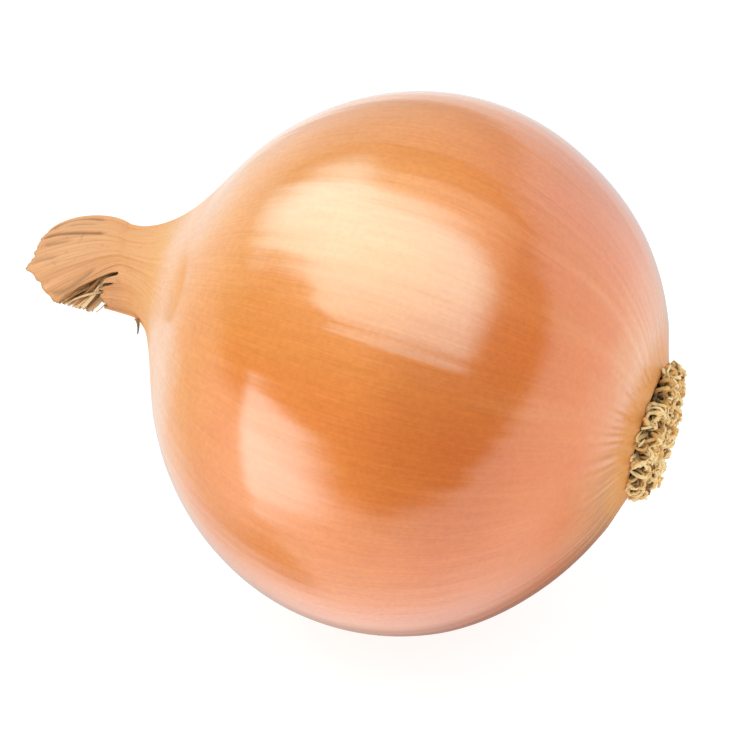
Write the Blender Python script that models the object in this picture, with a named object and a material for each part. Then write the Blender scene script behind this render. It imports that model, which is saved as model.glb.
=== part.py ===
"""A brown bulb onion lying on its side.

The bulb is a slightly flattened ball with its axis close to level. Its dry neck points to -X and its roots
to +X. The neck's papery sheath has folded over like a hood and torn open underneath, where the ends of the
inner leaves show. The onion rests on a small flat spot, whose centre is the origin.

Shapes are worked out in millimetres in the onion's own frame, with its axis along X, and then tilted into
the pose that it rests in. A turn is an angle round that axis, from the top of the neck's fold. The fold has
a plane of its own, in which a place is given as along, outward and sideways.
"""

import math
import random

import bmesh
import bpy
from mathutils import Matrix, Vector

MM = 0.001

# Body
BULB_RADIUS = 37.5
BULB_HALF_LENGTH = 35.0
OUT_OF_ROUND = 0.25
AXIS_TILT = math.radians(9.0)
FLAT_SPOT_DEPTH = 0.65

# Root end: a shallow seat for the stem disc, behind a slight dip in the outline
ROOT_DIP_START = 31.5
ROOT_RIM_AT = 34.5
ROOT_RIM_RADIUS = 9.2
ROOT_RIM_FLARE = (1.2, 0.8)
ROOT_RIM_LIP = 0.25
SEAT_DEPTH = 1.4
SEAT_RADIUS = 8.7
ROOT_RISE = 1.2
ROOT_RISE_FROM = 14.0

# Neck and its folded sheath
SHOULDER_START = -30.0
SHOULDER_HOLLOW = 4.6
NECK_START = -41.0
NECK_START_SHIFT = 2.0
NECK_RADIUS = 5.9
NECK_RISE = 1.3
NECK_FLATNESS = 0.9
FOLD_ROLL = math.radians(-31.0)
HOOD_END = (
    # along and outward, bend in degrees: four handles from the hood's top to its torn edge
    (-53.8, 2.9, 55.0),
    (-54.6, 0.2, 5.0),
    (-54.8, -4.2, 10.0),
    (-49.0, -5.7, 52.0),
)
HOOD_CROWDING = 1.4
HOOD_END_HALF_WIDTH = 3.6
HOOD_START_PULLS = (9.0, 6.5)
HOOD_END_PULL = 5.0
HOOD_SWELL = 1.0
HOOD_TIP_AT = 0.52
HOOD_TIP_WIDTH = 0.10
HOOD_TIP_REACH = 0.15
HOOD_NEAR_EDGE = math.radians(84.0)
HOOD_FAR_EDGE = math.radians(122.0)
TEAR_WIDTH = math.radians(10.0)
MOUTH_REACH = 0.08
MOUTH_LIP_REACH = 0.28
MOUTH_LIP_TURNS = (math.radians(96.0), math.radians(124.0))
MOUTH_FLOOR_REACH = 0.03
SHEATH_WALL = 0.9
PLEAT_COUNTS = (11, 7)
PLEAT_DEPTHS = (0.24, 0.14)
RAGGED_COUNTS = (9, 23)
RAGGED_DEPTHS = (0.014, 0.012)

# Root tuft
CLEARANCE = 0.3
DISC_RADIUS = SEAT_RADIUS - CLEARANCE
DISC_BACK_AT = ROOT_RIM_AT - SEAT_DEPTH + CLEARANCE
DISC_FACE_AT = 35.3
DISC_HOLLOW = 0.5
ROOT_COUNT = 92
ROOT_THICKNESS = 0.9
ROOT_NEAREST = 1.3
ROOT_FARTHEST = DISC_RADIUS - 0.9
ROOT_LEAN = (0.4, 1.5)
ROOT_SEED = 11
ROOT_FOOT_AT = 34.4
TUFT_TOP_AT = 37.2

# Leaf ends in the mouth of the neck
LEAF_END_COUNT = 9
LEAF_END_THICKNESS = 0.7
LEAF_END_HALF_WIDTHS = (0.5, 0.7)
LEAF_START_OUT = (-1.6, 2.4)
LEAF_START_SIDE = (-1.2, 2.0)
LEAF_END_ALONG = (-44.9, -48.7)
LEAF_END_OUT = (-5.5, -4.7)
LEAF_END_SIDE = (-1.5, 1.8)
LEAF_PULLS = (4.0, 4.5)
LEAF_END_BEND = math.radians(58.0)
STUMP_PATH = (
    # along, outward and radius
    (-42.3, -2.3, 1.15),
    (-42.7, -0.8, 1.3),
    (-43.3, 0.9, 1.3),
    (-43.9, 2.6, 1.1),
)
STUMP_ASIDE = 0.4

# Mesh steps
AROUND = 72
DIP_RINGS = 5
BODY_RINGS = 24
SHOULDER_RINGS = 7
HOOD_RINGS = 10
LINING_RINGS = 5
DISC_SIDES = 28
ROOT_SIDES = 4
ROD_STEPS = 4

SKIN_COLOUR = (0.76, 0.31, 0.09, 1.0)
LEAF_END_COLOUR = (0.80, 0.55, 0.29, 1.0)
ROOT_COLOUR = (0.62, 0.45, 0.22, 1.0)


def clear_scene():
    for thing in list(bpy.data.objects):
        bpy.data.objects.remove(thing, do_unlink=True)


def plain_material(name, colour, roughness):
    material = bpy.data.materials.new(name)
    material.use_nodes = True
    shader = material.node_tree.nodes["Principled BSDF"]
    shader.inputs["Base Color"].default_value = colour
    shader.inputs["Roughness"].default_value = roughness
    shader.inputs["Metallic"].default_value = 0.0
    return material


def smoothstep(low, high, value):
    share = min(1.0, max(0.0, (value - low) / (high - low)))
    return share * share * (3.0 - 2.0 * share)


def between(start, end, share):
    return start + (end - start) * share


def bezier(points, share):
    rest = 1.0 - share
    weights = (rest**3, 3 * rest**2 * share, 3 * rest * share**2, share**3)
    return tuple(sum(w * p[i] for w, p in zip(weights, points)) for i in range(len(points[0])))


def hermite(start, start_pull, end, end_pull, share):
    """A smooth step from start to end that leaves and arrives with the given pulls."""
    swing = share * share * (3.0 - 2.0 * share)
    leave = share * (1.0 - share) ** 2
    arrive = share * share * (share - 1.0)
    return start + (end - start) * swing + start_pull * leave + end_pull * arrive


def circle_turns(count):
    return [2 * math.pi * i / count for i in range(count)]


def bridge(mesh, rows):
    """Joins each closed row of vertices to the next one with four-sided faces."""
    for row, following in zip(rows, rows[1:]):
        count = len(row)
        for i in range(count):
            j = (i + 1) % count
            mesh.faces.new((row[i], row[j], following[j], following[i]))


# Outline of the bulb


def body_radius(along):
    """Radius of the ball-shaped body at a place along its axis."""
    return BULB_RADIUS * math.sqrt(1.0 - (along / BULB_HALF_LENGTH) ** 2)


def body_point(along, step=0.0):
    """A point of the body's outline, or one that a step along X reaches on its tangent there."""
    radius = body_radius(along)
    slope = -((BULB_RADIUS / BULB_HALF_LENGTH) ** 2) * along / radius
    return along + step, radius + step * slope


def root_dip(share):
    """Outline from the rim of the root seat, through its slight dip, to the body."""
    flare_along, flare_out = ROOT_RIM_FLARE
    points = (
        (ROOT_RIM_AT, ROOT_RIM_RADIUS),
        (ROOT_RIM_AT - flare_along, ROOT_RIM_RADIUS + flare_out),
        body_point(ROOT_DIP_START, 1.1),
        body_point(ROOT_DIP_START),
    )
    return bezier(points, share)


def neck_start(turn):
    """The neck starts a little later on its upper side, where the shoulder runs out more slowly."""
    return NECK_START - NECK_START_SHIFT * math.cos(turn)


def shoulder(share, turn):
    """Outline from the body, through the hollow shoulder, to the neck."""
    points = (
        body_point(SHOULDER_START),
        body_point(SHOULDER_START, -2.9),
        (neck_start(turn) + SHOULDER_HOLLOW, NECK_RADIUS),
        (neck_start(turn), NECK_RADIUS),
    )
    return bezier(points, share)


def pleats(turn):
    """Uneven lengthwise pleats of the dry sheath."""
    waves = (math.sin(PLEAT_COUNTS[0] * turn + 0.8), math.sin(PLEAT_COUNTS[1] * turn + 2.1))
    return PLEAT_DEPTHS[0] * waves[0] + PLEAT_DEPTHS[1] * waves[1]


def place(along, outward, sideways):
    """Puts a point of the fold's own plane into the onion's frame, rolled round the axis."""
    z = outward * math.cos(FOLD_ROLL) - sideways * math.sin(FOLD_ROLL)
    y = -outward * math.sin(FOLD_ROLL) - sideways * math.cos(FOLD_ROLL)
    return Vector((along, y, z))


def skin_point(along, radius, turn, neckness=0.0):
    """A point of the skin. Body lobes fade out with neckness, as the neck's pleats and rise come in."""
    lobes = math.cos(3 * turn + 0.6) + 0.5 * math.cos(5 * turn)
    radius += OUT_OF_ROUND * (1.0 - neckness) * lobes * radius / BULB_RADIUS + neckness * pleats(turn)
    flatness = between(1.0, NECK_FLATNESS, neckness)
    rise = NECK_RISE * neckness + ROOT_RISE * smoothstep(ROOT_RISE_FROM, ROOT_RIM_AT, along)
    return place(along, radius * math.cos(turn) + rise, radius * math.sin(turn) * flatness)


# The folded sheath at the end of the neck


def round_the_hood(turn):
    """The turn from the hood's top, how far that is past the torn edge, and its share of the way there."""
    wrapped = math.atan2(math.sin(turn), math.cos(turn))
    edge = HOOD_NEAR_EDGE if wrapped > 0 else HOOD_FAR_EDGE
    share = ((1.0 - math.cos(wrapped)) / (1.0 - math.cos(edge))) ** HOOD_CROWDING
    return wrapped, abs(wrapped) - edge, min(1.0, share)


def hood_reach(turn):
    """The share of each fibre that is left. Past the torn edges only the lips of a mouth remain."""
    wrapped, past_edge, share = round_the_hood(turn)
    torn = smoothstep(0.0, TEAR_WIDTH, past_edge)
    tip = 0.0
    if wrapped > 0:
        tip = HOOD_TIP_REACH * math.exp(-(((share - HOOD_TIP_AT) / HOOD_TIP_WIDTH) ** 2))
    lip = MOUTH_REACH + MOUTH_LIP_REACH * smoothstep(*MOUTH_LIP_TURNS, abs(wrapped))
    ragged = sum(depth * math.sin(count * turn) for depth, count in zip(RAGGED_DEPTHS, RAGGED_COUNTS))
    return between(0.98 + tip, lip, torn) + ragged


def hood_line(turn, share):
    """A point of the sheath's outside, at a share of the fibre that starts at a turn round the neck."""
    round_share = round_the_hood(turn)[2]
    end_along, end_out, end_bend = bezier(HOOD_END, round_share)
    bend_along, bend_out = math.cos(math.radians(end_bend)), math.sin(math.radians(end_bend))
    start_pull = between(HOOD_START_PULLS[0], HOOD_START_PULLS[1], round_share)
    inside = min(share, 1.0)
    beyond = max(share - 1.0, 0.0) * HOOD_END_PULL * 1.6
    along = hermite(neck_start(turn), -start_pull, end_along, -HOOD_END_PULL * bend_along, inside)
    start_out = NECK_RISE + NECK_RADIUS * math.cos(turn)
    out = hermite(start_out, 0.0, end_out, -HOOD_END_PULL * bend_out, inside)
    more = HOOD_SWELL * math.sin(math.pi * inside) * smoothstep(-0.3, 0.6, math.cos(turn)) + pleats(turn)
    half_width = between(NECK_RADIUS * NECK_FLATNESS, HOOD_END_HALF_WIDTH, share) + more * NECK_FLATNESS
    along -= beyond * bend_along
    out += more * math.cos(turn) - beyond * bend_out
    return place(along, out, half_width * math.sin(turn))


def folded(turn, share, inset):
    """A point of the sheath, moved in by inset at a right angle to its outside."""
    tiny = 1e-3
    along_fibre = hood_line(turn, share + tiny) - hood_line(turn, share - tiny)
    round_neck = hood_line(turn + tiny, share) - hood_line(turn - tiny, share)
    return hood_line(turn, share) + round_neck.cross(along_fibre).normalized() * inset


# The bulb's rings, in order from the root seat to the floor of the neck's mouth


def round_ring(along, radius):
    return [skin_point(along, radius, turn) for turn in circle_turns(AROUND)]


def root_end_rings():
    seat_at = ROOT_RIM_AT - SEAT_DEPTH
    rings = [round_ring(seat_at, SEAT_RADIUS / 2), round_ring(seat_at, SEAT_RADIUS)]
    rings.append(round_ring(ROOT_RIM_AT - ROOT_RIM_LIP, SEAT_RADIUS + 0.1))
    return rings + [round_ring(*root_dip(i / DIP_RINGS)) for i in range(DIP_RINGS + 1)]


def body_rings():
    first = math.acos(ROOT_DIP_START / BULB_HALF_LENGTH)
    last = math.acos(SHOULDER_START / BULB_HALF_LENGTH)
    angles = [between(first, last, i / BODY_RINGS) for i in range(1, BODY_RINGS)]
    places = [BULB_HALF_LENGTH * math.cos(angle) for angle in angles]
    return [round_ring(along, body_radius(along)) for along in places]


def shoulder_rings():
    rings = []
    for i in range(SHOULDER_RINGS):
        share = i / SHOULDER_RINGS
        neckness = smoothstep(0.3, 1.0, share)
        rings.append([skin_point(*shoulder(share, turn), turn, neckness) for turn in circle_turns(AROUND)])
    return rings


def hood_rings():
    """The sheath's outside up to its torn rim, then its lining back down to the floor of the mouth."""
    turns = circle_turns(AROUND)
    outside = []
    for i in range(HOOD_RINGS + 1):
        outside.append([hood_line(turn, hood_reach(turn) * i / HOOD_RINGS) for turn in turns])
    lining = []
    for i in range(LINING_RINGS + 1):
        shares = [between(hood_reach(turn) - 0.01, MOUTH_FLOOR_REACH, i / LINING_RINGS) for turn in turns]
        lining.append([folded(turn, share, SHEATH_WALL) for turn, share in zip(turns, shares)])
    return outside + lining


def skin_mesh():
    """Bridges all the rings into one closed skin, with a fan of triangles at each end."""
    mesh = bmesh.new()
    rings = root_end_rings() + body_rings() + shoulder_rings() + hood_rings()
    rows = [[mesh.verts.new(point * MM) for point in ring] for ring in rings]
    bridge(mesh, rows)
    for row in (rows[0], rows[-1]):
        hub = mesh.verts.new(sum((v.co for v in row), Vector()) / AROUND)
        for i in range(AROUND):
            mesh.faces.new((hub, row[i], row[(i + 1) % AROUND]))
    bmesh.ops.recalc_face_normals(mesh, faces=mesh.faces)
    return mesh


# Resting on the surface


def resting_pose(mesh):
    """The move that tilts the onion and lets the lowest point of its skin sink through the surface."""
    tilt = Matrix.Rotation(AXIS_TILT, 4, "Y")
    lowest = min((tilt @ v.co for v in mesh.verts), key=lambda point: point.z)
    drop = -lowest.z - FLAT_SPOT_DEPTH * MM
    return Matrix.Translation((-lowest.x, -lowest.y, drop)) @ tilt


def cut_flat_spot(mesh):
    """Cuts the underside level with the surface, closes it with one flat face and returns its middle."""
    cut = bmesh.ops.bisect_plane(
        mesh,
        geom=mesh.verts[:] + mesh.edges[:] + mesh.faces[:],
        dist=1e-7,
        plane_co=(0, 0, 0),
        plane_no=(0, 0, 1),
        clear_inner=True,
    )
    edges = [e for e in cut["geom_cut"] if isinstance(e, bmesh.types.BMEdge)]
    face = bmesh.ops.contextual_create(mesh, geom=edges)["faces"][0]
    bmesh.ops.recalc_face_normals(mesh, faces=mesh.faces)
    return face.calc_center_bounds()


def finished_object(name, mesh, material):
    data = bpy.data.meshes.new(name)
    mesh.to_mesh(data)
    mesh.free()
    data.shade_smooth()
    data.set_sharp_from_angle(angle=math.radians(50.0))
    data.materials.append(material)
    thing = bpy.data.objects.new(name, data)
    bpy.context.scene.collection.objects.link(thing)
    return thing


def make_bulb():
    """The body with its skin and folded neck. Returns the pose that its other pieces share."""
    mesh = skin_mesh()
    pose = resting_pose(mesh)
    bmesh.ops.transform(mesh, matrix=pose, verts=mesh.verts)
    spot = cut_flat_spot(mesh)
    centring = Matrix.Translation((-spot.x, -spot.y, 0.0))
    bmesh.ops.transform(mesh, matrix=centring, verts=mesh.verts)
    finished_object("bulb", mesh, plain_material("onion_skin", SKIN_COLOUR, 0.35))
    return centring @ pose


# Rods, strips and their fusing


def rod_mesh(path, section, widths, side):
    """A closed rod through the points of path. section holds its corners, and side is their first axis."""
    mesh = bmesh.new()
    rows = []
    for i, point in enumerate(path):
        ahead = path[min(i + 1, len(path) - 1)] - path[max(i - 1, 0)]
        forward = ahead.normalized()
        side = (side - forward * side.dot(forward)).normalized()
        up = side.cross(forward)
        rows.append([mesh.verts.new((point + (side * u + up * v) * widths[i]) * MM) for u, v in section])
    bridge(mesh, rows)
    mesh.faces.new(rows[0])
    mesh.faces.new(rows[-1])
    bmesh.ops.recalc_face_normals(mesh, faces=mesh.faces)
    return mesh


def largest_shell(mesh):
    """The vertices of the largest connected shell."""
    waiting = set(mesh.verts)
    largest = set()
    while waiting:
        shell = set()
        border = [waiting.pop()]
        while border:
            vertex = border.pop()
            shell.add(vertex)
            neighbours = {edge.other_vert(vertex) for edge in vertex.link_edges} & waiting
            waiting -= neighbours
            border += neighbours
        largest = max(largest, shell, key=len)
    return largest


def fuse(name, meshes, pose, material):
    """Joins the meshes in one closed body by a Boolean union, without what that seals in or cuts off."""
    base = finished_object(name, meshes[0], material)
    group = bpy.data.collections.new(name + "_pieces")
    bpy.context.scene.collection.children.link(group)
    for i, mesh in enumerate(meshes[1:]):
        data = bpy.data.meshes.new(f"{name}_piece_{i}")
        mesh.to_mesh(data)
        mesh.free()
        group.objects.link(bpy.data.objects.new(data.name, data))
    union = base.modifiers.new("join", "BOOLEAN")
    union.operation = "UNION"
    union.operand_type = "COLLECTION"
    union.collection = group
    union.solver = "EXACT"
    bpy.context.view_layer.update()
    shape = bmesh.new()
    shape.from_object(base, bpy.context.evaluated_depsgraph_get())
    base.modifiers.remove(union)
    for piece in list(group.objects):
        bpy.data.objects.remove(piece, do_unlink=True)
    bpy.data.collections.remove(group)
    kept = largest_shell(shape)
    bmesh.ops.delete(shape, geom=[v for v in shape.verts if v not in kept], context="VERTS")
    bmesh.ops.transform(shape, matrix=pose, verts=shape.verts)
    shape.to_mesh(base.data)
    shape.free()


# Root tuft


def stem_disc():
    """The low round disc that the roots grow from, with a slightly hollow face."""
    profile = (
        (DISC_BACK_AT, DISC_RADIUS / 2),
        (DISC_BACK_AT, DISC_RADIUS),
        (DISC_FACE_AT - DISC_HOLLOW, DISC_RADIUS),
        (DISC_FACE_AT, DISC_RADIUS - 0.6),
        (DISC_FACE_AT - DISC_HOLLOW, DISC_RADIUS / 2),
    )
    mesh = bmesh.new()
    rows = []
    for along, radius in profile:
        ring = [(along, radius * math.sin(t), radius * math.cos(t)) for t in circle_turns(DISC_SIDES)]
        rows.append([mesh.verts.new(Vector(point) * MM) for point in ring])
    bridge(mesh, rows)
    mesh.faces.new(rows[0])
    mesh.faces.new(rows[-1])
    bmesh.ops.recalc_face_normals(mesh, faces=mesh.faces)
    return mesh


def root_path(draw, index):
    """One dry root: it leaves the stem disc, leans outwards, and curls round with the mat."""
    golden_turn = math.radians(137.508)
    spread = math.sqrt((index + 0.5) / ROOT_COUNT)
    distance = between(ROOT_NEAREST, ROOT_FARTHEST, spread)
    curl = draw.choice((-1.0, 1.0)) * draw.uniform(2.4, 3.8) * between(0.35, 1.0, spread)
    height = (TUFT_TOP_AT - DISC_FACE_AT) * draw.uniform(0.5, 0.9) * between(0.4, 1.0, spread)
    top = DISC_FACE_AT + height
    lean = draw.uniform(*ROOT_LEAN) * spread
    path = []
    for step in range(ROD_STEPS + 1):
        share = step / ROD_STEPS
        turn = index * golden_turn + curl * share**1.6 / (distance + 1.0)
        out = distance + lean * share**1.5
        along = between(ROOT_FOOT_AT, top, math.sin(share * math.pi * 0.62))
        path.append(Vector((along, out * math.sin(turn), out * math.cos(turn))))
    return path


def make_root_tuft(pose):
    rise = Matrix.Translation(place(0.0, ROOT_RISE, 0.0) * MM)
    draw = random.Random(ROOT_SEED)
    corners = [math.radians(45.0) + turn for turn in circle_turns(ROOT_SIDES)]
    section = [(ROOT_THICKNESS / 2 * math.cos(a), ROOT_THICKNESS / 2 * math.sin(a)) for a in corners]
    widths = [between(1.15, 0.8, step / ROD_STEPS) for step in range(ROD_STEPS + 1)]
    side = Vector((0.0, 1.0, 0.3))
    pieces = [stem_disc()]
    pieces += [rod_mesh(root_path(draw, index), section, widths, side) for index in range(ROOT_COUNT)]
    fuse("root_tuft", pieces, pose @ rise, plain_material("dry_root", ROOT_COLOUR, 0.8))


# Leaf ends in the mouth of the neck


def leaf_end(draw, index):
    """One dry leaf end: a narrow strip from the stump in the mouth, down to just below the torn hood."""
    rank = index / (LEAF_END_COUNT - 1)
    reach = (index * 0.618) % 1.0
    start = (STUMP_PATH[1][0] - 0.5, between(*LEAF_START_OUT, draw.random()), between(*LEAF_START_SIDE, rank))
    end = (between(*LEAF_END_ALONG, reach), draw.uniform(*LEAF_END_OUT), between(*LEAF_END_SIDE, rank))
    leave = (-LEAF_PULLS[0], 0.0, 0.0)
    arrive = (-LEAF_PULLS[1] * math.cos(LEAF_END_BEND), -LEAF_PULLS[1] * math.sin(LEAF_END_BEND), 0.0)
    path = []
    for step in range(ROD_STEPS + 1):
        share = step / ROD_STEPS
        path.append(place(*[hermite(start[i], leave[i], end[i], arrive[i], share) for i in range(3)]))
    thick = LEAF_END_THICKNESS / 2
    wide = draw.uniform(*LEAF_END_HALF_WIDTHS)
    section = [(-wide, -thick), (wide, -thick), (wide, thick), (-wide, thick)]
    widths = [between(1.0, 0.9, step / ROD_STEPS) for step in range(ROD_STEPS + 1)]
    return rod_mesh(path, section, widths, place(0.0, 0.0, 1.0))


def leaf_stump():
    """The short stump of the inner leaves, deep in the mouth, that their ends grow from."""
    path = [place(along, outward, STUMP_ASIDE) for along, outward, radius in STUMP_PATH]
    radii = [radius for along, outward, radius in STUMP_PATH]
    section = [(math.cos(turn), math.sin(turn)) for turn in circle_turns(8)]
    return rod_mesh(path, section, radii, place(0.0, 0.0, 1.0))


def make_leaf_ends(pose):
    draw = random.Random(5)
    pieces = [leaf_stump()]
    pieces += [leaf_end(draw, index) for index in range(LEAF_END_COUNT)]
    fuse("neck_leaf_ends", pieces, pose, plain_material("dry_leaf", LEAF_END_COLOUR, 0.7))


clear_scene()
resting = make_bulb()
make_root_tuft(resting)
make_leaf_ends(resting)
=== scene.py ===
# %% [markdown]
# # A brown onion and its looks
#
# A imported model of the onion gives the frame: its size, where it rests and what it is made of. This lesson
# builds the finer skin, neck and roots that stand for the plain solids, and paints and lights them. The
# shapes come from the same few sizes as the solids, so each finer piece lies where its solid lies.

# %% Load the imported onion
import math
import random

import bpy
import numpy as np
from mathutils import Matrix, Vector


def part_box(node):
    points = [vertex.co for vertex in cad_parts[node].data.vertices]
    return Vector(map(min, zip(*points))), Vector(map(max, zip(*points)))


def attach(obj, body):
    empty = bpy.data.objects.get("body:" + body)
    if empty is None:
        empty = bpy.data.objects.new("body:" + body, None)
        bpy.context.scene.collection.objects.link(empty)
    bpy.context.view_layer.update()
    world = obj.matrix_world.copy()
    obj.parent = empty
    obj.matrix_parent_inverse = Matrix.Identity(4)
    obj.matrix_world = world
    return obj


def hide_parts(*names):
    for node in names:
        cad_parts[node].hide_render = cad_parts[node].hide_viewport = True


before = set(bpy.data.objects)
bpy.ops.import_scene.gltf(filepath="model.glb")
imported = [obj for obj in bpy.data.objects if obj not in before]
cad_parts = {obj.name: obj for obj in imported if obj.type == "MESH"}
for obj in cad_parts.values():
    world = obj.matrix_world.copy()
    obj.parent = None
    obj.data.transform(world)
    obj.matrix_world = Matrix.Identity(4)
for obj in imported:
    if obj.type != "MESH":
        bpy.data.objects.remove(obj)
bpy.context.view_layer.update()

MM = 0.001
print("nodes:", sorted(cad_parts))

# %% [markdown]
# ## The camera
#
# The photograph looks down at the onion by about 30 degrees, with the roots turned a little towards us. A
# long lens from 0.9 m keeps the outline as round as it is there. The camera aims beside the onion's middle,
# because the neck reaches further from it than the roots do.

# %% Camera
CAMERA_TURN = math.radians(18.0)
CAMERA_HEIGHT = math.radians(30.0)
CAMERA_DISTANCE = 0.9
VIEW_WIDTH = 0.0998
SENSOR_WIDTH = 36.0
BULB_MIDDLE = Vector((0.0, 0.0, 0.0367))
AIM_ASIDE = -0.0054
CLIP_START = 0.01


def new_object(name, data):
    """An object of the scene, from the data of a camera, a lamp or a mesh."""
    thing = bpy.data.objects.new(name, data)
    bpy.context.scene.collection.objects.link(thing)
    return thing


to_camera = Vector((
    math.sin(CAMERA_TURN) * math.cos(CAMERA_HEIGHT),
    -math.cos(CAMERA_TURN) * math.cos(CAMERA_HEIGHT),
    math.sin(CAMERA_HEIGHT),
))
camera_right = Vector((math.cos(CAMERA_TURN), math.sin(CAMERA_TURN), 0.0))
camera_data = bpy.data.cameras.new("camera")
camera_data.sensor_width = SENSOR_WIDTH
camera_data.lens = SENSOR_WIDTH * CAMERA_DISTANCE / VIEW_WIDTH
camera_data.clip_start = CLIP_START
camera = new_object("camera", camera_data)
camera.location = BULB_MIDDLE + camera_right * AIM_ASIDE + to_camera * CAMERA_DISTANCE
camera.rotation_euler = (-to_camera).to_track_quat("-Z", "Y").to_euler()
bpy.context.scene.camera = camera
bpy.context.scene.view_settings.view_transform = "Standard"
print("lens in mm:", round(camera_data.lens, 1))

# %% [markdown]
# ## Nodes without the clutter
#
# Every finish below is a tree of shader nodes. A small helper keeps the script readable: it adds a node,
# sets its options, and fills its inputs with a number, with a colour or by a link from another node. The
# onion's colours are written as six-figure codes, as in a paint program.

# %% A bench for building node trees


def srgb(code):
    """A colour from its six-figure code, as Blender's shaders count it."""
    shares = [int(code[i:i + 2], 16) / 255 for i in (0, 2, 4)]
    linear = [s / 12.92 if s <= 0.04045 else ((s + 0.055) / 1.055) ** 2.4 for s in shares]
    return (*linear, 1.0)


class NodeBench:
    """Adds and joins the nodes of one tree."""

    def __init__(self, tree):
        self.tree = tree

    def fill(self, node, inputs):
        """Fills inputs with a number, with a colour's code or by a link from another node."""
        for name, value in inputs.items():
            if isinstance(value, bpy.types.NodeSocket):
                self.tree.links.new(value, node.inputs[name])
            else:
                node.inputs[name].default_value = srgb(value) if isinstance(value, str) else value

    def add(self, kind, inputs=None, **settings):
        node = self.tree.nodes.new(kind)
        for name, value in settings.items():
            setattr(node, name, value)
        self.fill(node, inputs or {})
        return node

    def maths(self, operation, *values, clamp=False):
        inputs = dict(enumerate(values))
        return self.add("ShaderNodeMath", inputs, operation=operation, use_clamp=clamp).outputs[0]

    def times(self, first, *others):
        for value in others:
            first = self.maths("MULTIPLY", first, value)
        return first

    def line(self, value, slope, start, clamp=False):
        """The start plus slope times value."""
        return self.maths("MULTIPLY_ADD", value, slope, start, clamp=clamp)

    def step(self, value, low, high, start=0.0, end=1.0):
        """A smooth step of value from low to high, put out as start to end."""
        inputs = {"Value": value, "From Min": low, "From Max": high, "To Min": start, "To Max": end}
        return self.add("ShaderNodeMapRange", inputs, interpolation_type="SMOOTHSTEP").outputs[0]

    def window(self, value, rise, fall):
        """A mask that rises over one span of value and falls over another."""
        return self.times(self.step(value, *rise), self.step(value, *fall, 1.0, 0.0))

    def mix(self, share, first, second, blend="MIX"):
        inputs = {0: share, 6: first, 7: second}
        return self.add("ShaderNodeMix", inputs, data_type="RGBA", blend_type=blend).outputs[2]

    def ramp(self, share, *stops):
        """Colours along share, from a few stops: a place and a colour each."""
        node = self.add("ShaderNodeValToRGB", {"Fac": share})
        while len(node.color_ramp.elements) < len(stops):
            node.color_ramp.elements.new(1.0)
        for element, (place, colour) in zip(node.color_ramp.elements, stops):
            element.position = place
            element.color = srgb(colour)
        return node.outputs[0]

    def noise(self, place, scale, detail, roughness):
        inputs = {"Vector": place, "Scale": scale, "Detail": detail, "Roughness": roughness}
        return self.add("ShaderNodeTexNoise", inputs).outputs["Fac"]

    def attribute(self, name):
        return self.add("ShaderNodeAttribute", attribute_name=name).outputs["Vector"]

    def where(self):
        return self.add("ShaderNodeTexCoord").outputs["Object"]

    def group(self, tree, inputs):
        """A node of one of the groups, with its inputs filled. Gives back its outputs."""
        return self.add("ShaderNodeGroup", inputs, node_tree=tree).outputs

    def split(self, vector):
        return self.add("ShaderNodeSeparateXYZ", {"Vector": vector}).outputs[0:3]

    def join(self, x, y, z):
        return self.add("ShaderNodeCombineXYZ", {"X": x, "Y": y, "Z": z}).outputs[0]

    def bump(self, shader, height, strength, distance):
        inputs = {"Height": height, "Strength": strength, "Distance": distance}
        self.fill(shader, {"Normal": self.add("ShaderNodeBump", inputs).outputs[0]})


def new_material(name):
    """A material with an empty Principled BSDF, and the bench for its tree."""
    material = bpy.data.materials.new(name)
    material.use_nodes = True
    return material, material.node_tree.nodes["Principled BSDF"], NodeBench(material.node_tree)


print("middle grey, as shaders count it:", round(srgb("808080")[0], 2))

# %% [markdown]
# ## The table and the white room
#
# The onion lies on plain white, in even light from all sides, and the photograph has hardly a shadow. A white
# world and a pale floor that glows a little, like a light table, give that. The floor lies a hair under the
# flat spot, so that the two faces never flicker against each other.

# %% Floor and world
FLOOR_SIDE = 6.0
FLOOR_DROP = 0.02 * MM
FLOOR_GLOW = 0.86
FLOOR_ROUGHNESS = 0.9
ROOM_LIGHT = 0.92
FLOOR_COLOUR = (0.22, 0.22, 0.22, 1.0)
WHITE = (1.0, 1.0, 1.0, 1.0)
BLACK = (0.0, 0.0, 0.0, 1.0)


def mesh_object(name, points, faces, material, smooth=True):
    """An object from points in metres and faces, with one material."""
    data = bpy.data.meshes.new(name)
    data.from_pydata([tuple(p) for p in points], [], faces)
    data.materials.append(material)
    if smooth:
        data.shade_smooth()
    return new_object(name, data)


def make_floor():
    material, shader, bench = new_material("white_table")
    bench.fill(shader, {"Base Color": FLOOR_COLOUR, "Roughness": FLOOR_ROUGHNESS})
    bench.fill(shader, {"Emission Color": WHITE, "Emission Strength": FLOOR_GLOW})
    half = FLOOR_SIDE / 2
    corners = [(x * half, y * half, -FLOOR_DROP) for x, y in ((-1, -1), (1, -1), (1, 1), (-1, 1))]
    floor = mesh_object("floor", corners, [(0, 1, 2, 3)], material, smooth=False)
    floor.visible_glossy = False


def light_room():
    world = bpy.data.worlds.new("white_room")
    world.use_nodes = True
    background = world.node_tree.nodes["Background"]
    NodeBench(world.node_tree).fill(background, {"Color": WHITE, "Strength": ROOM_LIGHT})
    bpy.context.scene.world = world


make_floor()
light_room()
print("floor and white room are ready")

# %% [markdown]
# ## Cards that only reflections see
#
# Polished skin shows what stands round it, so the highlights are made with cards, as in a studio. A card is
# black and glows as it is painted: with a few lights, each with a tint. It is hidden from all sight but
# reflections, so it neither shows in the picture nor lights the floor.

# %% Black cards


def card_material(name):
    """A black card whose light is painted by nodes."""
    material, shader, bench = new_material(name)
    bench.fill(shader, {"Base Color": BLACK, "Specular IOR Level": 0.0, "Emission Strength": 1.0})
    return material, shader, bench


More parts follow.
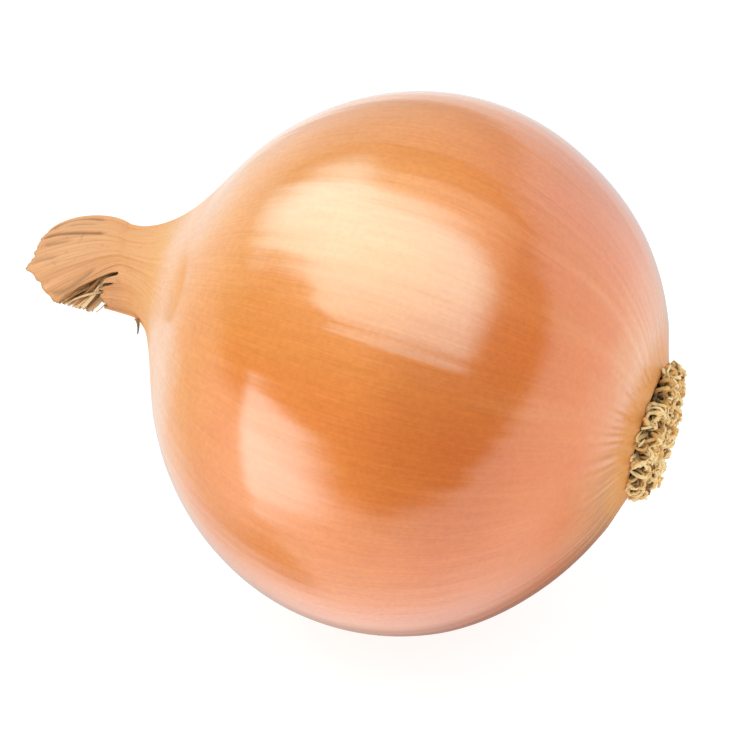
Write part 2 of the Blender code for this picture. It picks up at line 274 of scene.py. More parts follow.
def paint_card(bench, shader, *lights):
    """Lets a card glow with the sum of its lights, each a brightness and a tint."""
    channels = []
    for channel in range(3):
        total = 0.0
        for light, tint in lights:
            total = bench.line(light, tint[channel], total)
        channels.append(total)
    bench.fill(shader, {"Emission Color": bench.join(*channels)})


def only_mirrored(thing):
    """Hides a stage piece from all sight but reflections."""
    for sight in ("camera", "diffuse", "shadow", "transmission", "volume_scatter"):
        setattr(thing, "visible_" + sight, False)


# %% [markdown]
# ## The room in the skin
#
# The photograph's onion mirrors a dim room: nearly dark in front, where the photographer stands, with the
# white table low down all round, and a bright soft patch low on the left. A large ball round the scene is
# painted that way by direction: the turn from the front, and the height above level. Each region of it fades
# in and out over both. The table ends in slanting edges, with a dip in the light over its back edge. A gap
# in it and a shadow at the back take light away again.

# %% Regions of the mirrored room
# turns in, turns out, heights in, heights out, all in degrees
DARK_FRONT = ((-112, -70), (100, 135), (-95, -91), (40, 75))
LEFT_BACK = ((-176, -135), (-122, -92), (-62, -35), (2, 24))
LOW_PATCH = ((-62, -56), (-34, -4), (-48, -26), (0, 12))
TABLE_GAP = ((-108, -90), (-66, -48), (-76, -64), (-54, -40))
BACK_SHADOW = ((84, 138), (182, 226), (-76, -42), (-40, -24))
TABLE_TURNS = ((-120, -60), (150, 178))
TABLE_BACK_TURNS = ((140, 162), (203, 222))
DIP_HEIGHTS = ((-3, 5), (8, 20))
# edges that slant: height over turn, and height at no turn
RIGHT_EDGE = (0.935, -69.0)
RIGHT_EDGE_TOP = 38.0
FRONT_EDGE = (0.3, -41.0)
LEFT_EDGE = (-0.45, -34.0)
BACK_EDGE = (-0.75, 150.0)
PATCH_TOP = (-0.36, -13.0)
# how wide the edges blur, and spans of height with what the light changes from and to
TABLE_BLUR = (-9, 7)
BACK_BLUR = (6, -6)
PATCH_BLUR = (-4, 5)
TABLE_BELOW = (-42, -64)
BACK_SHARES = (-40, -12, 0.15, 0.55)
PATCH_SHARES = (-26, -8, 1.0, 1.3)
CEILING_HEIGHTS = (12, 45)


def region(bench, turn, height, spans):
    """A soft mask of one region of the room."""
    across = bench.window(turn, spans[0], spans[1])
    return bench.times(across, bench.window(height, spans[2], spans[3]))


def dimmed(bench, light, mask, depth):
    """The light, with a share of it taken away under the mask."""
    return bench.times(light, bench.line(mask, -depth, 1.0))


front_end = max(RIGHT_EDGE[1], FRONT_EDGE[1], LEFT_EDGE[1])
print("straight in front the table ends", -front_end, "degrees below level")

# %% [markdown]
# ## Painting the room
#
# The regions now get their light. The table is the brightest of its parts at each place, and its light is
# added to the room's. The patch has a tint of its own, cooler than the room's, as daylight is.

# %% The mirrored room
ROOM_RADIUS = 8.0
ROOM_SIDES = 48
ROOM_GREY = 0.52
CEILING_GREY = 0.47
TABLE_LIGHT = 0.72
LEFT_BACK_LIGHT = 0.48
PATCH_LIGHT = 3.0
GAP_DEPTH = 0.75
DIP_DEPTH = 0.4
SHADOW_DEPTH = 0.78
ROOM_TINT = (0.95, 1.0, 1.03)
PATCH_TINT = (0.70, 1.0, 1.06)


def table_seen(bench, turn, height, behind, over_back):
    """Where the white table shows: under an edge that lies low in front and climbs to both sides."""
    edge = bench.maths("MINIMUM", bench.line(turn, *RIGHT_EDGE), RIGHT_EDGE_TOP)
    for slope_and_start in (FRONT_EDGE, LEFT_EDGE):
        edge = bench.maths("MAXIMUM", edge, bench.line(turn, *slope_and_start))
    table = bench.step(bench.maths("SUBTRACT", edge, height), *TABLE_BLUR)
    table = bench.times(table, bench.window(turn, *TABLE_TURNS))
    back = bench.times(behind, bench.step(height, *BACK_SHARES), bench.step(over_back, *BACK_BLUR))
    for more in (bench.step(height, *TABLE_BELOW), back):
        table = bench.maths("MAXIMUM", table, more)
    return dimmed(bench, table, region(bench, turn, height, TABLE_GAP), GAP_DEPTH)


def room_light(bench, turn, height):
    full_turn = bench.maths("ADD", turn, bench.step(turn, 0.0, -1.0, 0.0, 360.0))
    behind = bench.window(full_turn, *TABLE_BACK_TURNS)
    over_back = bench.maths("SUBTRACT", height, bench.line(full_turn, *BACK_EDGE))
    table = table_seen(bench, turn, height, behind, over_back)
    light = bench.step(height, *CEILING_HEIGHTS, ROOM_GREY, CEILING_GREY)
    dark = dimmed(bench, region(bench, turn, height, DARK_FRONT), table, 1.0)
    light = dimmed(bench, light, dark, 1.0)
    dip = bench.times(behind, bench.window(over_back, *DIP_HEIGHTS))
    light = dimmed(bench, light, dip, DIP_DEPTH)
    light = bench.line(table, TABLE_LIGHT, light)
    light = bench.line(region(bench, turn, height, LEFT_BACK), LEFT_BACK_LIGHT, light)
    return dimmed(bench, light, region(bench, full_turn, height, BACK_SHADOW), SHADOW_DEPTH)


def patch_light(bench, turn, height):
    """The soft patch low on the left, under a slanting top edge."""
    under_top = bench.maths("SUBTRACT", bench.line(turn, *PATCH_TOP), height)
    patch = bench.times(region(bench, turn, height, LOW_PATCH), bench.step(under_top, *PATCH_BLUR))
    return bench.times(patch, bench.step(height, *PATCH_SHARES), PATCH_LIGHT)


def ball_facets(radius, sides):
    """Points and faces of a ball. A ball from bmesh has its corners in another order on each run."""
    rows = sides // 2
    points = [(0.0, 0.0, radius), (0.0, 0.0, -radius)]
    for row in range(1, rows):
        reach, level = radius * math.sin(math.pi * row / rows), radius * math.cos(math.pi * row / rows)
        turns = [2 * math.pi * column / sides for column in range(sides)]
        points += [(reach * math.cos(turn), reach * math.sin(turn), level) for turn in turns]
    faces = []
    for here in range(sides):
        after = (here + 1) % sides
        starts = [2 + row * sides for row in range(rows - 1)]
        faces += [(0, starts[0] + here, starts[0] + after), (1, starts[-1] + after, starts[-1] + here)]
        for upper, lower in zip(starts, starts[1:]):
            faces.append((upper + here, lower + here, lower + after, upper + after))
    return points, faces


def make_mirrored_room():
    material, shader, bench = card_material("mirrored_room")
    x, y, z = bench.split(bench.where())
    level = bench.maths("SQRT", bench.line(x, x, bench.times(y, y)))
    turn = bench.maths("DEGREES", bench.maths("ARCTAN2", x, bench.times(y, -1.0)))
    height = bench.maths("DEGREES", bench.maths("ARCTAN2", z, level))
    room = (room_light(bench, turn, height), ROOM_TINT)
    paint_card(bench, shader, room, (patch_light(bench, turn, height), PATCH_TINT))
    points, faces = ball_facets(ROOM_RADIUS, ROOM_SIDES)
    only_mirrored(mesh_object("mirrored_room", points, faces, material, smooth=False))


make_mirrored_room()
print("mirrored room is ready")

# %% [markdown]
# ## The softbox
#
# A big softbox overhead makes the large highlight. Its front edges are crisp, so they are the card's own
# edges. Its back and right edges blur, its light falls off to the left and in a notch at the front left, and
# a weak glow lies round its core. Places on it are counted in its own height over the table: how far aside to
# the right, and how far behind.

# %% Softbox
SOFTBOX_HEIGHT = 0.6
SOFTBOX_CORNERS = (
    (-2.60, 0.30), (-2.10, 1.20), (-1.50, 1.40), (-0.30, 0.90), (0.85, 0.62),
    (1.95, -1.50), (0.19, -1.25), (-0.75, -0.93), (-1.29, -0.54),
)
SOFTBOX_LIGHT = 5.1
SOFTBOX_TINT = (0.56, 1.0, 1.0)
SOFTBOX_BACK_SLANT = 0.22
SOFTBOX_BACK_BENDS = (
    # a span aside, and how far the back edge moves over it
    (-0.6, -0.15, -0.43, -0.18), (-1.9, -1.3, -0.25, 0.0),
)
SOFTBOX_BACK_SHARPNESS = (-0.6, -0.1, 1.0, 2.2)
SOFTBOX_BACK_FADE = (0.36, -0.32)
SOFTBOX_RIGHT_SLANT = 0.62
SOFTBOX_RIGHT_FADE = (1.08, 0.44)
SOFTBOX_LEFT_FADE = (-2.6, -0.95)
SOFTBOX_FRONT_CORNER = 0.4
SOFTBOX_FRONT_DIM = (-1.35, 0.15, 0.5, 1.0)
NOTCH_LEFT_END = -1.3
NOTCH_SLANT = (0.66, 0.91)
NOTCH_RIGHT_END = (-0.85, -0.3, 0.0, 0.8)
NOTCH_FADE = (-0.25, 0.25)
GLOW_LIGHT = 0.24
GLOW_TINT = (1.05, 1.0, 0.8)
GLOW_ARC = (0.26, 0.37)
GLOW_ARC_LOW = 0.42
GLOW_BLUR = (0.025, -0.025)
GLOW_RIGHT_FADE = (1.1, 0.4)
GLOW_FRONT_FADE = (-0.6, -0.1)


def softbox_core(bench, aside, behind):
    """Where the cloth shines in full, up to its back and right edges."""
    past_back = bench.line(aside, SOFTBOX_BACK_SLANT, behind)
    for bend in SOFTBOX_BACK_BENDS:
        past_back = bench.maths("ADD", past_back, bench.step(aside, *bend))
    past_back = bench.times(past_back, bench.step(aside, *SOFTBOX_BACK_SHARPNESS))
    past_right = bench.line(behind, SOFTBOX_RIGHT_SLANT, aside)
    back = bench.step(past_back, *SOFTBOX_BACK_FADE)
    return bench.times(back, bench.step(past_right, *SOFTBOX_RIGHT_FADE))


def softbox_glow(bench, aside, behind, core):
    """A weak glow beside the core, which ends at the back in a crisp arc."""
    arc = bench.maths("MAXIMUM", bench.line(aside, *GLOW_ARC), GLOW_ARC_LOW)
    glow = bench.step(bench.maths("SUBTRACT", behind, arc), *GLOW_BLUR)
    glow = bench.times(glow, bench.step(aside, *GLOW_RIGHT_FADE), bench.step(behind, *GLOW_FRONT_FADE))
    return bench.times(dimmed(bench, glow, core, 1.0), GLOW_LIGHT)


def softbox_light(bench, aside, behind):
    """How the light falls off to the left, in the notch and to the front."""
    notch = bench.line(bench.maths("MAXIMUM", aside, NOTCH_LEFT_END), *NOTCH_SLANT)
    notch = bench.maths("ADD", bench.maths("ADD", notch, behind), bench.step(aside, *NOTCH_RIGHT_END))
    far_left = bench.maths("MINIMUM", bench.maths("ADD", aside, SOFTBOX_FRONT_CORNER), 0.0)
    front = bench.step(bench.maths("ADD", far_left, behind), *SOFTBOX_FRONT_DIM)
    left = bench.step(aside, *SOFTBOX_LEFT_FADE)
    return bench.times(front, left, bench.step(notch, *NOTCH_FADE), SOFTBOX_LIGHT)


def make_softbox():
    material, shader, bench = card_material("softbox")
    aside, behind = [bench.maths("DIVIDE", side, SOFTBOX_HEIGHT) for side in bench.split(bench.where())[0:2]]
    core = softbox_core(bench, aside, behind)
    glow = softbox_glow(bench, aside, behind, core)
    light = softbox_light(bench, aside, behind)
    core_light = (bench.times(core, light), SOFTBOX_TINT)
    paint_card(bench, shader, core_light, (bench.times(glow, light), GLOW_TINT))
    corners = [(x * SOFTBOX_HEIGHT, y * SOFTBOX_HEIGHT, SOFTBOX_HEIGHT) for x, y in SOFTBOX_CORNERS]
    card = mesh_object("softbox_card", corners, [tuple(range(len(corners)))], material, smooth=False)
    only_mirrored(card)


make_softbox()
print("softbox is ready")

# %% [markdown]
# ## The key light
#
# A separate weak lamp on the left gives the soft shading. The skin doesn't mirror it, so it adds no
# highlight of its own.

# %% Key light
KEY_LIGHT_POWER = 1.8
KEY_LIGHT_SIZE = 0.5
KEY_LIGHT_PLACE = Vector((-0.45, -0.28, 0.68))


def make_key_light():
    data = bpy.data.lights.new("key_light", "AREA")
    data.size = KEY_LIGHT_SIZE
    data.energy = KEY_LIGHT_POWER
    lamp = new_object("key_light", data)
    lamp.location = KEY_LIGHT_PLACE
    lamp.rotation_euler = (BULB_MIDDLE - KEY_LIGHT_PLACE).to_track_quat("-Z", "Y").to_euler()
    lamp.visible_glossy = False


make_key_light()
print("key light is ready")

# %% [markdown]
# ## The outline of the bulb
#
# A bulb is close to a ball, a little shorter along its axis than it is wide. Its outline is a curve that is
# swept round the axis: a rim round the root seat, the ball, a hollow shoulder and a slim neck. These are the
# sizes of the plain solid, in millimetres, so the finer skin follows it everywhere.

# %% Sizes of the bulb
BULB_RADIUS = 37.5
BULB_HALF_LENGTH = 35.0
OUT_OF_ROUND = 0.25
AXIS_TILT = math.radians(9.0)
ROOT_DIP_START = 31.5
ROOT_DIP_PULL = 1.1
ROOT_RIM_AT = 34.5
ROOT_RIM_RADIUS = 9.2
ROOT_RIM_FLARE = (1.2, 0.8)
ROOT_RIM_LIP = 0.25
SEAT_DEPTH = 1.4
SEAT_RADIUS = 8.7
ROOT_RISE = 1.2
ROOT_RISE_FROM = 14.0
SHOULDER_START = -30.0
SHOULDER_PULL = -2.9
SHOULDER_HOLLOW = 4.6
NECK_START = -41.0
NECK_START_SHIFT = 2.0
NECK_RADIUS = 5.9
NECK_RISE = 1.3
NECK_FLATNESS = 0.9
FOLD_ROLL = math.radians(-31.0)

AROUND = 360
turns = np.linspace(0.0, 2 * np.pi, AROUND, endpoint=False)
print("bulb across in mm:", 2 * BULB_RADIUS)

# %% [markdown]
# ## A curve in three parts
#
# Bezier curves lead from the ball to its two ends. Where a curve meets the ball, its handle lies on the
# ball's tangent, so the skin runs on without a kink.

# %% The outline, from rim to neck


def smoothstep(low, high, value):
    share = np.clip((value - low) / (high - low), 0.0, 1.0)
    return share * share * (3.0 - 2.0 * share)


def between(start, end, share):
    return start + (end - start) * share


def bezier(points, share):
    """A place on a curve through four handles, which may differ round the bulb."""
    rest = 1.0 - share
    weights = (rest**3, 3 * rest**2 * share, 3 * rest * share**2, share**3)
    return tuple(sum(w * p[i] for w, p in zip(weights, points)) for i in range(len(points[0])))


def body_radius(along):
    return BULB_RADIUS * math.sqrt(1.0 - (along / BULB_HALF_LENGTH) ** 2)


def body_point(along, step=0.0):
    """A point of the ball's outline, or one that a step along X reaches on its tangent there."""
    radius = body_radius(along)
    slope = -((BULB_RADIUS / BULB_HALF_LENGTH) ** 2) * along / radius
    return along + step, radius + step * slope


def root_dip(share):
    """From the rim of the root seat, through a slight dip, to the ball."""
    flare_along, flare_out = ROOT_RIM_FLARE
    points = (
        (ROOT_RIM_AT, ROOT_RIM_RADIUS),
        (ROOT_RIM_AT - flare_along, ROOT_RIM_RADIUS + flare_out),
        body_point(ROOT_DIP_START, ROOT_DIP_PULL),
        body_point(ROOT_DIP_START),
    )
    return bezier(points, share)


def neck_start(turn):
    return NECK_START - NECK_START_SHIFT * np.cos(turn)


def shoulder(share, turn):
    """From the ball, through the hollow shoulder, to the neck."""
    points = (
        body_point(SHOULDER_START),
        body_point(SHOULDER_START, SHOULDER_PULL),
        (neck_start(turn) + SHOULDER_HOLLOW, NECK_RADIUS),
        (neck_start(turn), NECK_RADIUS),
    )
    return bezier(points, share)


print("on top the neck starts", -float(neck_start(0.0)), "mm from the bulb's middle")

# %% [markdown]
# ## Round the axis
#
# The outline turns round the axis to make the skin. A grown ball is never quite round, so slight lobes swell
# it. They fade out towards the neck, where the pleats of the dry sheath come in.

# %% Points of the skin
LOBE_COUNTS = (3, 5)
LOBE_START = 0.6
LOBE_SHARE = 0.5
PLEAT_COUNTS = (11, 7)
PLEAT_STARTS = (0.8, 2.1)
PLEAT_DEPTHS = (0.24, 0.14)


def pleats(turn):
    """Uneven lengthwise pleats of the dry sheath."""
    waves = [np.sin(count * turn + start) for count, start in zip(PLEAT_COUNTS, PLEAT_STARTS)]
    return PLEAT_DEPTHS[0] * waves[0] + PLEAT_DEPTHS[1] * waves[1]


def place(along, outward, sideways):
    """Rolls a point of the fold's own plane into the onion's frame, with its axis along X."""
    along, outward, sideways = np.broadcast_arrays(along, outward, sideways)
    z = outward * math.cos(FOLD_ROLL) - sideways * math.sin(FOLD_ROLL)
    y = -outward * math.sin(FOLD_ROLL) - sideways * math.cos(FOLD_ROLL)
    return np.stack((along, y, z), axis=-1)


def skin_point(along, radius, turn, neckness=0.0):
    """A point of the skin. The ball's lobes fade out with neckness, as the neck's pleats and rise come in."""
    lobes = np.cos(LOBE_COUNTS[0] * turn + LOBE_START) + LOBE_SHARE * np.cos(LOBE_COUNTS[1] * turn)
    swell = OUT_OF_ROUND * (1.0 - neckness) * lobes * radius / BULB_RADIUS
    radius = radius + swell + neckness * pleats(turn)
    flatness = between(1.0, NECK_FLATNESS, neckness)
    rise = NECK_RISE * neckness + ROOT_RISE * smoothstep(ROOT_RISE_FROM, ROOT_RIM_AT, along)
    return place(along, radius * np.cos(turn) + rise, radius * np.sin(turn) * flatness)


print("top of the ball in mm:", skin_point(0.0, BULB_RADIUS, 0.0).round(1))

# %% [markdown]
# ## The folded neck
#
# When an onion dries, the leaves above the bulb shrink to a papery sheath. This one has folded over like a
# hood and torn open underneath. Each fibre of it is a smooth line from the neck to the hood's end. On the
# torn side the lines stop early, which leaves the mouth.

# %% Sizes of the fold
HOOD_END = (
    # along and outward in mm, bend in degrees: four handles from the hood's top to its torn edge
    (-53.8, 2.9, 55.0), (-54.6, 0.2, 5.0), (-54.8, -4.2, 10.0), (-49.0, -5.7, 52.0),
)
HOOD_CROWDING = 1.4
HOOD_END_HALF_WIDTH = 3.6
HOOD_START_PULLS = (9.0, 6.5)
HOOD_END_PULL = 5.0
HOOD_END_STRETCH = 1.6
HOOD_SWELL = 1.0
HOOD_SWELL_SIDE = (-0.3, 0.6)
HOOD_REACH = 0.98
HOOD_TIP_AT = 0.52
HOOD_TIP_WIDTH = 0.10
HOOD_TIP_REACH = 0.15
HOOD_NEAR_EDGE = math.radians(84.0)
HOOD_FAR_EDGE = math.radians(122.0)
TEAR_WIDTH = math.radians(10.0)
MOUTH_REACH = 0.08
MOUTH_LIP_REACH = 0.28
MOUTH_LIP_TURNS = (math.radians(96.0), math.radians(124.0))
MOUTH_FLAPS = (
    # turn and half width in degrees, share of the fibre that each torn flap keeps
    (87.0, 4.5, 0.20), (101.5, 4.5, 0.21), (114.0, 5.0, 0.08),
)
RAGGED_COUNTS = (9, 23, 57, 101)
RAGGED_DEPTHS = (0.014, 0.012, 0.010, 0.008)


def round_the_hood(turn):
    """The turn within half a circle, how far it is past the torn edge, and its share of the way there."""
    wrapped = np.arctan2(np.sin(turn), np.cos(turn))
    edge = np.where(wrapped > 0, HOOD_NEAR_EDGE, HOOD_FAR_EDGE)
    share = ((1.0 - np.cos(wrapped)) / (1.0 - np.cos(edge))) ** HOOD_CROWDING
    return wrapped, np.abs(wrapped) - edge, np.minimum(1.0, share)


def hood_reach(turn):
    """The share of each fibre that is left. Past the torn edges only the lips of a mouth remain."""
    wrapped, past_edge, share = round_the_hood(turn)
    torn = smoothstep(0.0, TEAR_WIDTH, past_edge)
    tip = HOOD_TIP_REACH * np.exp(-(((share - HOOD_TIP_AT) / HOOD_TIP_WIDTH) ** 2)) * (wrapped > 0)
    lip = MOUTH_REACH + MOUTH_LIP_REACH * smoothstep(*MOUTH_LIP_TURNS, np.abs(wrapped))
    for at, half_width, reach in MOUTH_FLAPS:
        lip = lip + reach * np.exp(-(((np.degrees(wrapped) - at) / half_width) ** 4))
    ragged = sum(depth * np.sin(count * turn) for depth, count in zip(RAGGED_DEPTHS, RAGGED_COUNTS))
    return between(HOOD_REACH + tip, lip, torn) + ragged


print("share of the fibres left:", [round(float(v), 2) for v in hood_reach(turns[::90])])

# %% [markdown]
# ## A fibre of the sheath
#
# A Hermite curve suits a fibre well: it leaves the neck straight, and arrives at the hood's end with the bend
# that the fold has there. The inside of the sheath is the same surface, moved in at a right angle to it.

# %% Fibres of the fold


def hermite(start, start_pull, end, end_pull, share):
    """A smooth step from start to end that leaves and arrives with the given pulls."""
    swing = share * share * (3.0 - 2.0 * share)
    leave = share * (1.0 - share) ** 2
    arrive = share * share * (share - 1.0)
    return start + (end - start) * swing + start_pull * leave + end_pull * arrive


def hood_line(turn, share):
    """A point of the sheath's outside, at a share of the fibre that starts at a turn round the neck."""
    round_share = round_the_hood(turn)[2]
    end_along, end_out, end_bend = bezier(HOOD_END, round_share)
    end_bend = np.radians(end_bend)
    start_pull = between(*HOOD_START_PULLS, round_share)
    inside = np.minimum(share, 1.0)
    beyond = np.maximum(share - 1.0, 0.0) * HOOD_END_PULL * HOOD_END_STRETCH
    along = hermite(neck_start(turn), -start_pull, end_along, -HOOD_END_PULL * np.cos(end_bend), inside)
    start_out = NECK_RISE + NECK_RADIUS * np.cos(turn)
    out = hermite(start_out, 0.0, end_out, -HOOD_END_PULL * np.sin(end_bend), inside)
    more = HOOD_SWELL * np.sin(np.pi * inside) * smoothstep(*HOOD_SWELL_SIDE, np.cos(turn)) + pleats(turn)
    half_width = between(NECK_RADIUS * NECK_FLATNESS, HOOD_END_HALF_WIDTH, share) + more * NECK_FLATNESS
    along = along - beyond * np.cos(end_bend)
    out = out - beyond * np.sin(end_bend)
    return place(along, out + more * np.cos(turn), half_width * np.sin(turn))


def folded(turn, share, inset=0.0):
    """A point of the sheath, moved in by inset at a right angle to its outside."""
    tiny = 1e-3
    along_fibre = hood_line(turn, share + tiny) - hood_line(turn, share - tiny)
    round_neck = hood_line(turn + tiny, share) - hood_line(turn - tiny, share)
    inward = np.cross(round_neck, along_fibre)
    inward = inward / np.linalg.norm(inward, axis=-1, keepdims=True)
    return hood_line(turn, share) + inward * np.expand_dims(inset, -1)


print("hood tip at", [round(float(v), 1) for v in hood_line(0.0, 1.0)])

# %% [markdown]
# ## One skin from rim to mouth
#
# The skin is a net: rings across the axis, joined to their neighbours by four-sided faces. The rings come in
# five sections, from the seat of the roots to the lining of the mouth. They lie closest where the form bends
# most.

# %% Rings of the skin
DIP_RINGS = 12
BODY_RINGS = 96
SHOULDER_RINGS = 36
HOOD_RINGS = 70
LINING_RINGS = 22
RIM_RING = 3
SEAT_CORNER = 0.1
NECK_FADE = (0.3, 1.0)
RIM_INSIDE = 0.005
MOUTH_FLOOR_REACH = 0.03
SHEATH_WALL = 0.9
SHEATH_EDGE = 0.3
SHEATH_THICKENS_OVER = 0.4


def round_ring(along, radius, neckness=0.0):
    return skin_point(along, radius, turns, neckness)


def root_end_rings():
    seat_at = ROOT_RIM_AT - SEAT_DEPTH
    rings = [round_ring(seat_at, SEAT_RADIUS / 2), round_ring(seat_at, SEAT_RADIUS)]
    rings.append(round_ring(ROOT_RIM_AT - ROOT_RIM_LIP, SEAT_RADIUS + SEAT_CORNER))
    return rings + [round_ring(*root_dip(i / DIP_RINGS)) for i in range(DIP_RINGS + 1)]


def body_rings():
    first = math.acos(ROOT_DIP_START / BULB_HALF_LENGTH)
    last = math.acos(SHOULDER_START / BULB_HALF_LENGTH)
    angles = [between(first, last, i / BODY_RINGS) for i in range(1, BODY_RINGS)]
    places = [BULB_HALF_LENGTH * math.cos(angle) for angle in angles]
    return [round_ring(along, body_radius(along)) for along in places]


def shoulder_rings():
    shares = [i / SHOULDER_RINGS for i in range(SHOULDER_RINGS)]
    return [round_ring(*shoulder(share, turns), smoothstep(*NECK_FADE, share)) for share in shares]


def hood_outside_rings():
    reach = hood_reach(turns)
    return [hood_line(turns, reach * i / HOOD_RINGS) for i in range(HOOD_RINGS + 1)]


def lining_rings():
    """From the torn rim, which is thin as paper, back down to the floor of the mouth."""
    rims = hood_reach(turns) - RIM_INSIDE
    rings = []
    for i in range(LINING_RINGS + 1):
        share = i / LINING_RINGS
        inset = between(SHEATH_EDGE, SHEATH_WALL, float(smoothstep(0.0, SHEATH_THICKENS_OVER, share)))
        rings.append(folded(turns, between(rims, MOUTH_FLOOR_REACH, share), inset))
    return rings


sections = [
    ("root_end", root_end_rings()),
    ("body", body_rings()),
    ("shoulder", shoulder_rings()),
    ("hood", hood_outside_rings()),
    ("lining", lining_rings()),
]
net = np.array([ring for name, rings in sections for ring in rings])
ring_section = np.array([name for name, rings in sections for ring in rings])
print("rings:", {name: len(rings) for name, rings in sections})

# %% [markdown]
# ## What each ring remembers
#
# Each point keeps how far along the fibres it lies. Each ring keeps its zone: how much it is neck, where it
# lies over the fold, and whether it is lining. It also keeps its polish, which runs out before the dry neck
# starts. The finishes read these, so that fibres and colours follow the growth of the onion over every fold.

# %% Ways, zones and polish
POLISH_END = (0.78, 0.865)
POLISHED_SECTIONS = ("root_end", "body", "shoulder")


def way_along(points):
    """Distance along the fibres from the root rim, in mm, at each point of the net."""
    steps = np.linalg.norm(np.diff(points, axis=0), axis=-1)
    distance = np.concatenate((np.zeros((1, AROUND)), np.cumsum(steps, axis=0)))
    return distance - distance[RIM_RING]


def zone_of_ring(name, share):
    """Neckness, place over the fold and lining share of the ring at a share of its section."""
    zones_by_section = {
        "shoulder": (float(smoothstep(*NECK_FADE, share)), 0.0, 0.0),
        "hood": (1.0, share, 0.0),
        "lining": (1.0, 1.0 - share, 1.0),
    }
    return zones_by_section.get(name, (0.0, 0.0, 0.0))


ring_shares = [(name, i / (len(rings) - 1)) for name, rings in sections for i in range(len(rings))]
zones = np.array([zone_of_ring(name, share) for name, share in ring_shares])
neckness, fold_share, lining_share = (zones[:, column][:, None] for column in range(3))
way = way_along(net)
BODY_WAY = float(way[ring_section == "hood"][0].mean())
polish = 1.0 - smoothstep(*POLISH_END, way.mean(axis=1) / BODY_WAY)
polish = polish * np.isin(ring_section, POLISHED_SECTIONS)
print("fibres run", round(BODY_WAY, 1), "mm from roots to neck")

# %% [markdown]
# ## Low relief
#
# Fine veins run from the roots to the neck. They rise by a few hundredths of a millimetre on the ball, and
# gather into stronger ribs where they crowd together at both ends. The dry sheath has deeper creases. Waves
# round the bulb, each with its own count, add up to such uneven veins, and they stay whole over the ring.

# %% Veins and creases
VEIN_SEED = 3
VEIN_COUNTS = range(24, 97, 6)
VEIN_SHARES = (0.4, 1.0)
VEIN_SCALE = 3.0
WAVE_STARTS = (0, 6.28)
VEIN_HEIGHT = 0.018
ROOT_RIB_HEIGHT = 0.05
ROOT_RIB_START = (0.3, 3.0)
ROOT_RIB_END = (0.0, 14.0)
NECK_RIB_HEIGHT = 0.07
CREASES = (
    # turn in degrees, where it starts and ends over the fold, depth in mm
    (-8.0, 0.10, 0.80, 0.30),
    (14.0, 0.25, 0.95, 0.22),
    (31.0, 0.30, 0.85, 0.30),
    (44.0, 0.20, 0.98, 0.34),
    (49.0, 0.50, 0.90, 0.20),
    (63.0, 0.55, 0.98, 0.16),
    (80.0, 0.35, 0.98, 0.24),
    (-30.0, 0.20, 0.90, 0.36),
    (-55.0, 0.10, 0.80, 0.34),
    (-85.0, 0.20, 0.95, 0.36),
)
CREASE_WIDTH = math.radians(1.2)
CREASE_WANDER = math.radians(2.5)
CREASE_WAVES = 5.0
CREASE_FADES = (0.12, 0.1)


def net_normals(points):
    """Outward direction at each point of the net, from its neighbours along and round."""
    along = np.gradient(points, axis=0)
    around = (np.roll(points, -1, axis=1) - np.roll(points, 1, axis=1)) / 2
    normals = np.cross(along, around)
    return normals / np.maximum(np.linalg.norm(normals, axis=-1, keepdims=True), 1e-9)


def veins(turn):
    """Uneven ribs round the bulb, from about -1 to 1."""
    draw = random.Random(VEIN_SEED)
    waves = []
    for count in VEIN_COUNTS:
        share = draw.uniform(*VEIN_SHARES)
        waves.append(share * np.sin(count * turn + draw.uniform(*WAVE_STARTS)))
    return sum(waves) / VEIN_SCALE


def creases(turn, over_fold):
    """Narrow valleys in the folded sheath, in mm."""
    total = np.zeros(np.broadcast(turn, over_fold).shape)
    for at, start, end, depth in CREASES:
        apart = turn - math.radians(at) - CREASE_WANDER * np.sin(over_fold * CREASE_WAVES + at)
        apart = np.arctan2(np.sin(apart), np.cos(apart))
        fade = smoothstep(start, start + CREASE_FADES[0], over_fold)
        fade = fade * (1.0 - smoothstep(end - CREASE_FADES[1], end, over_fold))
        total = total + depth * fade * np.exp(-((apart / CREASE_WIDTH) ** 2))
    return total


crease_depth = creases(turns[None, :], fold_share)
root_ribs = ROOT_RIB_HEIGHT * (1.0 - smoothstep(*ROOT_RIB_END, way)) * smoothstep(*ROOT_RIB_START, way)
vein_height = VEIN_HEIGHT + root_ribs + NECK_RIB_HEIGHT * neckness
relief = vein_height * veins(turns)[None, :] - crease_depth
relief *= (ring_section != "lining")[:, None] * (way >= 0)
fine_net = net + net_normals(net) * relief[..., None]
print("relief in mm:", round(float(relief.min()), 2), "to", round(float(relief.max()), 2))

# %% [markdown]
# ## Into its resting pose
#
# The onion leans so that its roots are lower than its neck, and it rests on a small flat spot. The packed
# solid's box says how far to move the tilted skin: its two ends, its two sides and its top. What would dip
# under the table is pressed level, which is the flat spot.

# %% Pose of the onion
cad_low, cad_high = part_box("bulb")
tilt = np.array(Matrix.Rotation(AXIS_TILT, 3, "Y")).T
tilted_net = net @ tilt
low, high = tilted_net.min(axis=(0, 1)), tilted_net.max(axis=(0, 1))
shift = np.array([
    (cad_low.x + cad_high.x) / 2 / MM - (low[0] + high[0]) / 2,
    (cad_low.y + cad_high.y) / 2 / MM - (low[1] + high[1]) / 2,
    cad_high.z / MM - high[2],
])


def posed(points):
    """From the onion's own frame in mm to the row frame in metres."""
    return (np.asarray(points) @ tilt + shift) * MM


print("shift in mm:", shift.round(2), "lowest point:", round(float(low[2] + shift[2]), 2))

# %% [markdown]
# ## Fibres
#
# Fine fibres show on the skin and on the dry leaf ends, and they run with the growth. A node group makes
# them, so a finish only has to say how many and how strong. They read a direction round the bulb and a
# distance along it, never a flat picture, so they have no seam.

# %% Node group: fibres
BUNDLE_SCALE = 0.23


